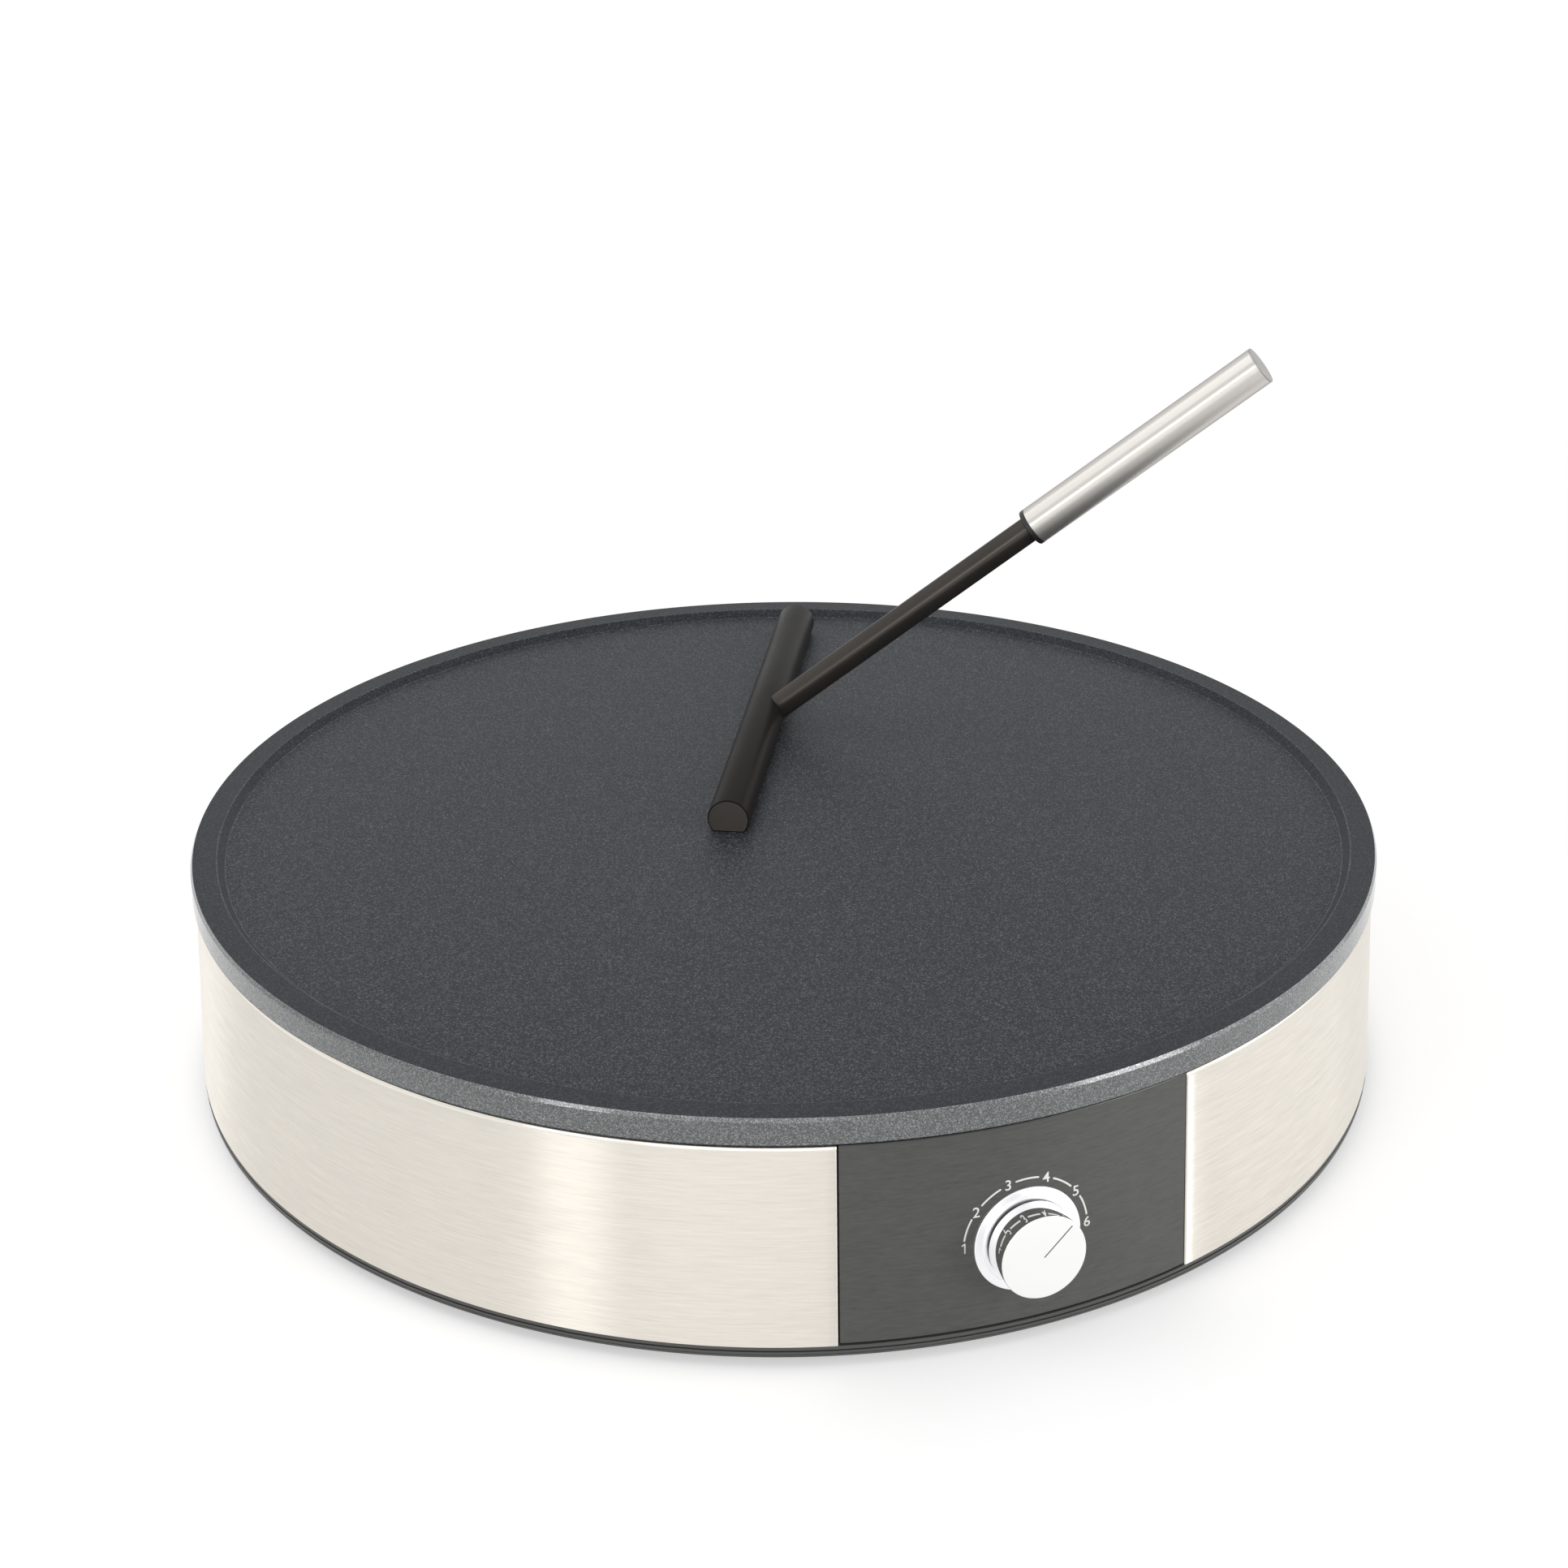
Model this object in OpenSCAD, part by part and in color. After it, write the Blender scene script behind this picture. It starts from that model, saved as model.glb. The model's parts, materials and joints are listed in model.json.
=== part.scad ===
// Electric crepe maker with its T-shaped batter spreader.
// Millimetres. +Z is up, the control panel faces -Y and the feet stand on z = 0.
// The origin is the middle of the whole footprint, so the plate's axis lies a little behind it.

/* [Griddle plate] */
// Diameter of the plate across its top edge
plate_d = 345.6; // [325:0.2:380]
// Height of the plate's outer wall
plate_side_h = 7.7; // [7.2:0.1:10]
// How much the wall's radius grows from its top edge to its lower edge
plate_draft = 0.2; // [0.1:0.1:1.2]
// Width of the flat rim around the cooking surface
rim_w = 7.5; // [5:0.1:10]
// Width of the slope from the rim down to the cooking surface
rim_slope_w = 2.2; // [1:0.1:4]
// Depth of the cooking surface below the rim
surface_drop = 2.3; // [1.5:0.1:2.6]
// Chamfer of the rim's outer edge
rim_chamfer = 0.6; // [0.2:0.1:1]
// Height of the bosses under the plate that take its screws
plate_boss_h = 6; // [4:0.1:8]
// Diameter of the bosses under the plate
plate_boss_d = 14; // [12:0.1:18]

/* [Heating element] */
// Radius of the element's ring, to the middle of its tube
element_ring_r = 105; // [95:1:115]
// Diameter of the element's tube
element_d = 6.6; // [6:0.1:7.4]
// Angle between the element's two ends, at the front
element_gap_angle = 24; // [18:1:40]
// Depth of the rib that holds the element under the plate
rib_h = 6; // [5:0.1:7]
// Wall of that rib on either side of the element
rib_wall = 5; // [3:0.1:8]
// Clearance between the element and its groove
element_clear = 0.1; // [0.05:0.01:0.2]
// Depth of the element's tube inside the mouth of its groove
element_sink = 1; // [0.5:0.1:1.5]
// Diameter of the element's terminal pins
pin_d = 3; // [2:0.1:4]
// Length of a terminal pin below the element's tube
pin_l = 12; // [8:0.5:14]
// Diameter of the ceramic insulator on each pin
insulator_d = 9; // [7:0.1:11]
// Height of the ceramic insulator
insulator_h = 6; // [4:0.1:7]

/* [Housing band] */
// How far the plate's top edge stands out over the band's top edge, in radius
plate_overhang = 0.9; // [0.5:0.1:3]
// How much the band's radius grows from its top edge to its lower edge
band_flare = 3.1; // [1:0.1:6]
// Height of the band
band_h = 56.7; // [54:0.1:70]
// Sheet thickness of the band and of the control panel
sheet_t = 0.8; // [0.6:0.1:1.2]
// Width of the lip that turns inwards along the top of the band and the panel
lip_w = 6; // [4:0.1:10]
// Height of the dark gap between the band and the plate
shadow_gap = 0.6; // [0.5:0.1:1.5]

/* [Base pan and feet] */
// Height of a foot below the base pan
foot_h = 4; // [3:0.1:8]
// Diameter of a foot
foot_d = 18; // [14:0.5:24]
// Distance from the base's outer edge to the middle of a foot
foot_inset = 24; // [20:0.5:30]
// Diameter of a foot's stem
foot_stem_d = 7; // [5:0.1:9]
// Thickness of the pan's floor and height of its visible edge ring
pan_t = 2.4; // [2:0.1:4]
// Width and depth of the groove around the edge ring
ring_groove = 0.5; // [0.3:0.1:0.8]
// Height of the wall that locates the band
upstand_h = 10; // [6:0.5:14]
// Thickness of that wall
upstand_t = 2.2; // [1.5:0.1:3]
// Clearance between that wall and the band
upstand_clear = 0.3; // [0.1:0.05:0.5]
// Number of vent slots in the pan's floor
vent_count = 24; // [12:1:32]
// Width of a vent slot
vent_w = 4; // [2:0.1:6]
// Length of a vent slot
vent_l = 26; // [15:1:30]
// Radius of the circle through the middles of the vent slots
vent_ring_r = 62; // [58:1:70]

/* [Posts and long screws] */
// Distance from the band's top edge to the middle of a post
post_inset = 43; // [41:0.5:46]
// Diameter of a post
post_d = 13; // [12:0.1:16]
// Diameter of the long screws
screw_d = 5; // [4:0.1:5.5]
// Diameter of the long screws' heads
screw_head_d = 9; // [8:0.1:9.5]
// Height of the long screws' heads
screw_head_h = 3.4; // [2.5:0.1:4]
// Depth of the recess that takes a screw head
head_recess = 6; // [4:0.1:8]
// Clearance around a screw in a plain hole
screw_clear = 0.3; // [0.1:0.05:0.5]
// Clearance between a screw and the threads that it turns into
thread_clear = 0.1; // [0.02:0.01:0.15]
// Depth of the tapped hole beyond the foot of the plate's boss
tap_depth = 8; // [6:0.1:9]

/* [Heat shield] */
// Sheet thickness of the heat shield
shield_t = 0.5; // [0.4:0.05:0.5]
// Width of the shelf around the heat shield
shield_shelf_w = 21; // [20:0.5:22]
// Depth of the heat shield below its shelf
shield_depth = 11.6; // [10:0.1:14]

/* [Control panel] */
// Width of the control panel along its curve
panel_w = 97; // [80:1:130]
// Gap between the panel and each end of the band
seam_gap = 0.5; // [0.3:0.1:1]
// Depth of the folds at the ends of the band and of the panel
fold_depth = 8; // [5:0.5:12]

/* [Dial] */
// How far the dial's centre lies below the middle of the band's height
dial_drop = 4.6; // [0:0.1:8]
// Outer diameter of the collar
collar_d = 29; // [26:0.1:34]
// How far the collar's flange stands out from the panel
collar_t = 0.5; // [0.3:0.1:1]
// Diameter of the collar's raised hub
collar_hub_d = 24.6; // [24:0.1:25.5]
// How far the collar's hub stands out from the panel
collar_hub_h = 1.1; // [0.9:0.1:2]
// Gap between the collar and the knob
knob_gap = 0.7; // [0.3:0.1:0.8]
// Diameter of the knob at its face
knob_face_d = 22.9; // [22.7:0.1:24]
// Diameter of the knob at its back
knob_back_d = 22.6; // [21:0.1:22.7]
// Length of the knob along its axis
knob_l = 8.3; // [8:0.1:14]
// Wall of the knob's metal cap
knob_wall = 0.7; // [0.5:0.1:0.9]
// Chamfer around the knob's face
knob_chamfer = 0.25; // [0.1:0.05:0.4]
// Width of the pointer line in the knob's face
pointer_w = 0.35; // [0.2:0.05:0.6]
// Depth of the pointer line
pointer_depth = 0.15; // [0.1:0.05:0.3]
// Turn of the pointer from straight up, clockwise as seen from the front
pointer_turn = 46; // [-92:1:92]

/* [Thermostat] */
// Diameter of the thermostat's spindle
spindle_d = 6; // [5:0.1:7]
// Radial running clearance of the spindle in its bush
spindle_clear = 0.05; // [0.02:0.01:0.1]
// Depth of the flat on the spindle
spindle_flat = 1.2; // [0.5:0.1:1.6]
// Diameter of the threaded bush around the spindle
bush_d = 10; // [9:0.1:11]
// Width across the flats of the nut on the bush
nut_af = 14; // [13:0.1:16]
// Thickness of the nut on the bush
nut_h = 2; // [1.5:0.1:2.3]
// Diameter of the saddle washer behind the panel
saddle_d = 18; // [16:0.5:24]
// Distance from the panel's outer face back to the thermostat's case
case_back = 8; // [6:0.5:12]
// Width of the thermostat's case
case_w = 34; // [30:0.5:38]
// Height of the thermostat's case
case_h = 26; // [22:0.5:28]
// Depth of the thermostat's case
case_l = 20; // [16:0.5:26]
// Diameter of the sensor bulb
bulb_d = 5.5; // [4:0.1:6.5]
// Length of the sensor bulb
bulb_l = 58; // [45:1:70]
// Diameter of the capillary tube
capillary_d = 2; // [1.5:0.1:2.6]

/* [Wiring] */
// Diameter of a wire over its insulation
wire_d = 2.8; // [2:0.1:3.2]
// Width of the terminal block
block_w = 36; // [32:0.5:44]
// Depth of the terminal block
block_l = 18; // [14:0.5:24]
// Height of the terminal block
block_h = 14; // [12:0.5:18]
// Distance between the terminals of the block
block_pitch = 10; // [8:0.5:12]
// Diameter of the thermal cutoff
cutoff_d = 15; // [12:0.5:18]
// Height of the thermal cutoff
cutoff_h = 8; // [6:0.5:10]

/* [Cord gland] */
// Diameter of the hole for the power cord
cord_hole_d = 7.4; // [6:0.1:9]
// Diameter of the gland's outer flange
gland_flange_d = 19; // [16:0.5:24]
// How far the gland's flange stands out behind the band
gland_flange_h = 3; // [2:0.1:6]
// Diameter of the gland's neck
gland_neck_d = 13; // [11:0.5:15]
// Length of the gland inside the band
gland_inner_l = 9; // [6:0.5:14]
// Height of the gland's axis above the band's lower edge
gland_rise = 14; // [11:0.5:20]

/* [Batter spreader] */
// Length of the spreader's bar
bar_l = 160; // [120:1:180]
// Diameter of the bar's round back
bar_d = 12.3; // [11:0.1:16]
// Height of the bar from its flat to the top of its round back
bar_h = 10.2; // [8:0.1:10.4]
// Turn of the bar on the plate, from the +X direction
bar_turn = 62.2; // [0:0.1:90]
// Distance of the bar's middle to the right of the plate's axis
bar_x = 18.9; // [0:0.1:30]
// Distance of the bar's middle behind the plate's axis
bar_y = 67.4; // [0:0.1:70]
// Diameter of the rod between the bar and the grip
rod_d = 8.1; // [6:0.1:8.5]
// Tilt of the handle above the plate
handle_tilt = 38.7; // [30:0.1:60]
// Height of the handle's axis above the cooking surface, over the middle of the bar
handle_root_h = 2.8; // [2.4:0.1:3.4]
// Distance along the handle from the bar's middle to the lower end of the grip
grip_start = 107.7; // [80:0.1:130]
// Length of the grip's steel sleeve
grip_l = 83.5; // [60:0.1:110]
// Outer diameter of the grip's steel sleeve
grip_d = 11.9; // [11.5:0.1:16]
// Wall of the grip's steel sleeve
grip_wall = 0.8; // [0.5:0.1:1.2]
// Length of the black ring below the sleeve
grip_ring_l = 1.6; // [1:0.1:4]
// Thickness of the cap that closes the grip
grip_cap_t = 0.6; // [0.4:0.1:3]

/* [Hidden] */
$fn = 96;
eps = 0.01;
// Segments of the surfaces that are as wide as the plate
wide_fn = 360;

// Heights, from the feet up
pan_z = foot_h;
band_z = pan_z + pan_t;
band_top_z = band_z + band_h;
plate_z = band_top_z + shadow_gap;
plate_top_z = plate_z + plate_side_h;
surface_z = plate_top_z - surface_drop;
dial_z = band_z + band_h / 2 - dial_drop;
shield_z = band_top_z - shield_depth;
boss_z = plate_z - plate_boss_h;
rib_z = plate_z - rib_h;
element_z = rib_z + element_sink + element_d / 2;

// Radii from the plate's axis
plate_r = plate_d / 2;
well_r = plate_r - rim_w - rim_slope_w;
band_top_r = plate_r - plate_overhang;
band_low_r = band_top_r + band_flare;
post_ring_r = band_top_r - post_inset;
foot_ring_r = band_low_r - foot_inset;
shield_r = band_top_r - sheet_t - upstand_clear;
shield_dish_r = shield_r - shield_shelf_w;
flare_angle = atan(band_flare / band_h);

// Outer radius of the band and the panel at a height
function skin_r(z) = band_low_r - (z - band_z) * band_flare / band_h;

// Angles, counted from +X about the plate's axis; the panel's middle is at -90
front_angle = -90;
degrees_per_mm = 180 / (PI * skin_r(dial_z));
panel_half_angle = panel_w / 2 * degrees_per_mm;
seam_angle = seam_gap * degrees_per_mm;
fold_angle = sheet_t * degrees_per_mm;
fold_notch_angle = (2 * sheet_t + seam_gap + 2 * upstand_clear) * degrees_per_mm;
post_angles = [45, 135, 225, 315];
foot_angles = [45, 135, 225, 315];

// Shallow grooves around the underside of the pan
pan_groove_radii = [88, 108];
pan_groove_w = 2;
pan_groove_depth = 0.6;

// The dial, in its own frame: x to the right, y up, z out of the panel
knob_z0 = collar_hub_h + knob_gap;
knob_z1 = knob_z0 + knob_l;
bush_tip = 0.3;
bush_end = collar_hub_h + nut_h + bush_tip;
core_gap = 0.4;
core_z0 = bush_end + core_gap;
core_z1 = knob_z1 - knob_wall;
socket_roof = 1;
spindle_end = core_z1 - socket_roof;
case_z1 = -case_back;
case_z0 = case_z1 - case_l;
shoulder_z = -3;
shoulder_d = bush_d + 4;
stop_d = spindle_d + 4;
stop_t = 3;
stop_z = case_z1 - 6;
panel_hole_d = bush_d + 2 * screw_clear;
tab_w = 6.3;
tab_t = 0.8;
tab_l = 8;
tab_x = 9;

// The footprint's middle lies halfway between the knob's face and the gland's flange
knob_reach = skin_r(dial_z) + knob_z1 * cos(flare_angle);
gland_z = band_z + gland_rise;
gland_reach = skin_r(gland_z) + gland_flange_h;
axis_y = (knob_reach - gland_reach) / 2;

// Places under the plate, from the plate's axis
element_half_gap = element_gap_angle / 2;
terminal_x = element_ring_r * sin(element_half_gap);
terminal_y = -element_ring_r * cos(element_half_gap);
leg_step = 0.8;
leg_d = element_d - leg_step;
leg_below = 4;
leg_z = element_z - element_d / 2 - leg_below;
pin_z = leg_z - pin_l;
bulb_y = -58;
bulb_clear = 0.1;
bulb_z = plate_z - bulb_d / 2 - bulb_clear;
bulb_clip_w = 8;
bulb_clip_t = 1;
bulb_clip_reach = 7;
clip_x = 18;
small_screw_d = 3;
small_head_d = 5.6;
small_head_h = 1.8;
small_tap = 3.5;
screw_end_gap = 0.3;
cutoff_y = -66;
cutoff_ear = 6;
cutoff_ear_t = 1.2;
cutoff_screw_reach = cutoff_d / 2 + cutoff_ear / 2;
cutoff_tab_reach = cutoff_d / 2 + tab_l;
element_clip_angles = [30, 90, 150, 210, 330];
element_clip_w = 10;
element_clip_t = 1.2;
clip_strap_l = element_d + 2 * rib_wall;
clip_screw_radii = [
    element_ring_r - element_d / 2 - rib_wall / 2 - element_clear,
    element_ring_r + element_d / 2 + rib_wall / 2 + element_clear
];
grommet_x = 44;
grommet_y = -72;
grommet_d = 6;

// Places on the pan's floor, from the plate's axis
block_y = 92;
block_hole_d = wire_d + 2 * screw_clear;
block_hole_z = band_z + block_h * 0.45;
block_screw_d = 4;
wire_lift = 1;
floor_wire_z = band_z + wire_d / 2 + wire_lift;
lane_offset = 16;
earth_x = 36;
earth_y = 30;
earth_d = 8;
earth_t = 0.8;
earth_tab_l = 7;

// The rod's end inside the bar, measured along the handle, and the material left below that end
rod_floor = 0.5;
rod_foot = (rod_d / 2 * cos(handle_tilt) + rod_floor - handle_root_h) / sin(handle_tilt);

// ---------- shared shapes ----------

// Moves from the plate's axis to the part's frame
module on_axis() {
    translate([0, axis_y, 0]) children();
}

// Moves from the dial's frame to the part's frame
module at_dial() {
    translate([0, axis_y - skin_r(dial_z), dial_z]) rotate([90 - flare_angle, 0, 0]) children();
}

// The part-frame place of a point in the dial's frame
function from_dial(p) = [
    p[0],
    axis_y - skin_r(dial_z) + p[1] * sin(flare_angle) - p[2] * cos(flare_angle),
    dial_z + p[1] * cos(flare_angle) + p[2] * sin(flare_angle)
];

// The part-frame place of a point given from the plate's axis
function from_axis(p) = [p[0], p[1] + axis_y, p[2]];

// Repeats its children on a circle, first at each angle
module around(angles, r) {
    for (a = angles) rotate([0, 0, a]) translate([r, 0, 0]) children();
}

module tube(outer_d, inner_d, h) {
    difference() {
        cylinder(d = outer_d, h = h);
        translate([0, 0, -eps]) cylinder(d = inner_d, h = h + 2 * eps);
    }
}

// Wall that follows the band's flare, between two depths behind its outer face
module flared_wall(depth_0, depth_1, z_0, z_1, angle = 360, start = 0) {
    rotate_extrude(angle = angle, start = start, $fn = wide_fn) polygon([
        [skin_r(z_0) - depth_1, z_0],
        [skin_r(z_0) - depth_0, z_0],
        [skin_r(z_1) - depth_0, z_1],
        [skin_r(z_1) - depth_1, z_1]
    ]);
}

// Everything inside a depth behind the band's outer face
module flared_core(depth) {
    rotate_extrude($fn = 2 * wide_fn) polygon([
        [0, pan_z],
        [skin_r(pan_z) - depth, pan_z],
        [skin_r(plate_z) - depth, plate_z],
        [0, plate_z]
    ]);
}

// Sheet-metal shell with a top lip and a fold at both ends
module sheet_shell(start, angle) {
    lip_z = band_top_z - sheet_t;
    flared_wall(0, sheet_t, band_z, band_top_z, angle, start);
    flared_wall(sheet_t / 2, lip_w, lip_z, band_top_z, angle, start);
    flared_wall(0, fold_depth, band_z, band_top_z, fold_angle, start);
    flared_wall(0, fold_depth, band_z, band_top_z, fold_angle, start + angle - fold_angle);
}

function unit(v) = v / norm(v);

// Point at a share t of the way from points[i] to points[i + 1], on a smooth curve through all of them
function curve_point(points, i, t) =
    let (
        a = points[max(i - 1, 0)],
        b = points[i],
        c = points[i + 1],
        d = points[min(i + 2, len(points) - 1)]
    )
    0.5 * (2 * b + (c - a) * t + (2 * a - 5 * b + 4 * c - d) * t * t + (3 * b - a - 3 * c + d) * t * t * t);

function curve(points, steps) = [
    for (i = [0 : len(points) - 2], s = [0 : steps - 1]) curve_point(points, i, s / steps),
    points[len(points) - 1]
];

function tangent(path, i) = unit(path[min(i + 1, len(path) - 1)] - path[max(i - 1, 0)]);

// The part of n that is square to t
function square_to(n, t) = unit(n - (n * t) * t);

// Wire or tube with flat ends, swept along a smooth curve through the points
module bent_wire(points, d, steps = 4) {
    sides = 10;
    path = curve(points, steps);
    last = len(path) - 1;
    normals = [
        for (i = 0, n = square_to([0.3, 0.5, 0.8], tangent(path, 0)); i <= last;
            i = i + 1, n = square_to(n, tangent(path, min(i, last)))) n
    ];
    rings = [
        for (i = [0 : last], k = [0 : sides - 1])
            path[i] + d / 2 * (
                cos(k * 360 / sides) * normals[i]
                + sin(k * 360 / sides) * cross(tangent(path, i), normals[i])
            )
    ];
    walls = [
        for (i = [0 : last - 1], k = [0 : sides - 1])
            let (m = (k + 1) % sides, a = i * sides, b = (i + 1) * sides)
            each [[a + k, b + k, b + m], [a + k, b + m, a + m]]
    ];
    start_cap = [for (k = [0 : sides - 1]) k];
    end_cap = [for (k = [sides - 1 : -1 : 0]) last * sides + k];
    polyhedron(points = rings, faces = [start_cap, end_cap, each walls]);
}

// Screw that points up, with its head below z = 0
module screw_up(d, head_d, head_h, length) {
    translate([0, 0, -head_h]) cylinder(d = head_d, h = head_h);
    translate([0, 0, -eps]) cylinder(d = d, h = length + eps);
}

// ---------- plate and heater ----------

module griddle_plate() {
    color([0.29, 0.31, 0.33]) on_axis() difference() {
        union() {
            rotate_extrude() polygon([
                [0, plate_z],
                [plate_r + plate_draft, plate_z],
                [plate_r, plate_top_z - rim_chamfer],
                [plate_r - rim_chamfer, plate_top_z],
                [plate_r - rim_w, plate_top_z],
                [well_r, surface_z],
                [0, surface_z]
            ]);
            element_rib();
            around(post_angles, post_ring_r) translate([0, 0, boss_z])
                cylinder(d = plate_boss_d, h = plate_boss_h + eps);
        }
        rotate_extrude() {
            translate([element_ring_r, element_z]) circle(d = element_d + 2 * element_clear);
            translate([element_ring_r - element_d / 2 - element_clear, rib_z - eps])
                square([element_d + 2 * element_clear, element_z - rib_z + eps]);
        }
        around(post_angles, post_ring_r) translate([0, 0, boss_z - eps])
            cylinder(d = screw_d + 2 * thread_clear, h = tap_depth + eps);
        small_taps();
    }
}

module element_rib() {
    rib_w = element_d + 2 * rib_wall;
    rotate_extrude() translate([element_ring_r - rib_w / 2, rib_z]) square([rib_w, rib_h + eps]);
}

// Tapped holes in the plate and its rib for the clips' screws
module small_taps() {
    hole_d = small_screw_d + 2 * thread_clear;
    for (x = [-clip_x, clip_x], side = [-1, 1])
        translate([x, bulb_y + side * bulb_clip_reach, plate_z - eps])
            cylinder(d = hole_d, h = small_tap + eps);
    for (r = clip_screw_radii) around(element_clip_angles, r) translate([0, 0, rib_z - eps])
        cylinder(d = hole_d, h = small_tap + eps);
}

module heating_element() {
    color([0.42, 0.40, 0.38]) on_axis() {
        rotate_extrude(angle = 360 - element_gap_angle, start = front_angle + element_half_gap)
            translate([element_ring_r, element_z]) circle(d = element_d, $fn = 48);
        for (side = [-1, 1]) translate([side * terminal_x, terminal_y, 0]) {
            translate([0, 0, leg_z]) cylinder(d = leg_d, h = element_z + leg_d / 4 - leg_z);
            translate([0, 0, pin_z]) cylinder(d = pin_d, h = pin_l + eps);
        }
    }
}

module pin_insulators() {
    color([0.92, 0.90, 0.84]) on_axis()
        for (side = [-1, 1]) translate([side * terminal_x, terminal_y, leg_z - insulator_h])
            tube(insulator_d, pin_d + 2 * thread_clear, insulator_h);
}

// Flat steel straps that close the element's groove
module element_clips() {
    color([0.72, 0.73, 0.74]) on_axis() around(element_clip_angles, element_ring_r)
        translate([0, 0, rib_z - element_clip_t]) difference() {
            translate([-clip_strap_l / 2, -element_clip_w / 2, 0])
                cube([clip_strap_l, element_clip_w, element_clip_t]);
            for (r = clip_screw_radii) translate([r - element_ring_r, 0, -eps])
                cylinder(d = small_screw_d + 2 * screw_clear, h = element_clip_t + 2 * eps);
        }
}

module element_clip_screws() {
    color([0.78, 0.78, 0.76]) on_axis() for (r = clip_screw_radii) around(element_clip_angles, r)
        translate([0, 0, rib_z - element_clip_t])
            screw_up(small_screw_d, small_head_d, small_head_h, element_clip_t + small_tap - screw_end_gap);
}

// ---------- heat shield, spacers and long screws ----------

module heat_shield() {
    color([0.80, 0.81, 0.82]) on_axis() difference() {
        rotate_extrude() polygon([
            [0, shield_z],
            [shield_dish_r, shield_z],
            [shield_dish_r, band_top_z],
            [shield_r, band_top_z],
            [shield_r, band_top_z + shield_t],
            [shield_dish_r - shield_t, band_top_z + shield_t],
            [shield_dish_r - shield_t, shield_z + shield_t],
            [0, shield_z + shield_t]
        ]);
        around(post_angles, post_ring_r) shield_hole(screw_d + 2 * screw_clear);
        for (side = [-1, 1]) translate([side * terminal_x, terminal_y, 0])
            shield_hole(insulator_d + 2 * screw_clear);
        translate([grommet_x, grommet_y, 0]) shield_hole(grommet_d);
        for (side = [-1, 1]) translate([0, cutoff_y + side * cutoff_screw_reach, 0])
            shield_hole(small_screw_d + 2 * thread_clear);
    }
}

module shield_hole(d) {
    translate([0, 0, shield_z - eps]) cylinder(d = d, h = shield_t + 2 * eps);
}

module plate_spacers() {
    spacer_z = shield_z + shield_t;
    color([0.88, 0.86, 0.80]) on_axis() around(post_angles, post_ring_r) translate([0, 0, spacer_z])
        tube(plate_boss_d - 1, screw_d + 2 * screw_clear, boss_z - spacer_z);
}

module plate_screws() {
    head_z = pan_z + head_recess;
    tip_gap = 0.5;
    cross_l = screw_head_d * 0.53;
    cross_w = 1;
    cross_depth = 1.6;
    color([0.70, 0.70, 0.70]) on_axis() around(post_angles, post_ring_r) translate([0, 0, head_z])
        difference() {
            screw_up(screw_d, screw_head_d, screw_head_h, boss_z + tap_depth - head_z - tip_gap);
            for (turn = [0, 90]) rotate([0, 0, turn])
                translate([-cross_l / 2, -cross_w / 2, -screw_head_h - eps])
                    cube([cross_l, cross_w, cross_depth]);
        }
}

// ---------- housing ----------

module steel_band() {
    first = front_angle + panel_half_angle;
    color([0.88, 0.87, 0.84]) on_axis() difference() {
        sheet_shell(first, 360 - 2 * panel_half_angle);
        translate([0, skin_r(gland_z) - gland_inner_l, gland_z]) rotate([-90, 0, 0])
            cylinder(d = gland_neck_d + 2 * thread_clear, h = 2 * gland_inner_l);
    }
}

module control_panel() {
    first = front_angle - panel_half_angle + seam_angle;
    color([0.34, 0.33, 0.32]) difference() {
        on_axis() sheet_shell(first, 2 * (panel_half_angle - seam_angle));
        at_dial() translate([0, 0, -4]) cylinder(d = panel_hole_d, h = 8);
    }
}

module base_pan() {
    color([0.12, 0.12, 0.12]) on_axis() difference() {
        union() {
            pan_shell();
            around(post_angles, post_ring_r) translate([0, 0, pan_z])
                cylinder(d = post_d, h = shield_z - pan_z);
            around(post_angles, post_ring_r) post_ribs();
        }
        around(post_angles, post_ring_r) {
            translate([0, 0, pan_z - eps]) cylinder(d = screw_d + 2 * screw_clear, h = band_h);
            translate([0, 0, pan_z - eps])
                cylinder(d = screw_head_d + 2 * screw_clear, h = head_recess + eps);
        }
        around(foot_angles, foot_ring_r) translate([0, 0, pan_z - eps])
            cylinder(d = foot_stem_d + 2 * thread_clear, h = pan_t + 2 * eps);
        for (i = [0 : vent_count - 1]) rotate([0, 0, i * 360 / vent_count]) vent_slot();
        for (r = pan_groove_radii) rotate_extrude() translate([r, pan_z - eps])
            square([pan_groove_w, pan_groove_depth + eps]);
        upstand_notches();
    }
}

// Floor, edge ring with its groove, and the wall that locates the band
module pan_shell() {
    wall_out = sheet_t + upstand_clear;
    groove_z = pan_z + pan_t / 2;
    ring_chamfer = 0.2;
    flared_wall(wall_out, wall_out + upstand_t, band_z - eps, band_z + upstand_h);
    rotate_extrude() polygon([
        [0, pan_z],
        [band_low_r - ring_chamfer, pan_z],
        [band_low_r, pan_z + ring_chamfer],
        [band_low_r, groove_z - ring_groove / 2],
        [band_low_r - ring_groove, groove_z - ring_groove / 2],
        [band_low_r - ring_groove, groove_z + ring_groove / 2],
        [band_low_r, groove_z + ring_groove / 2],
        [band_low_r, band_z],
        [0, band_z]
    ]);
}

// Four gussets at the foot of a post
module post_ribs() {
    gusset_l = 6;
    gusset_h = 22;
    gusset_t = 2;
    for (turn = [45 : 90 : 315]) rotate([0, 0, turn]) translate([0, gusset_t / 2, band_z - eps])
        rotate([90, 0, 0]) linear_extrude(gusset_t) polygon([
            [0, 0],
            [post_d / 2 + gusset_l, 0],
            [post_d / 2, gusset_h],
            [0, gusset_h]
        ]);
}

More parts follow.
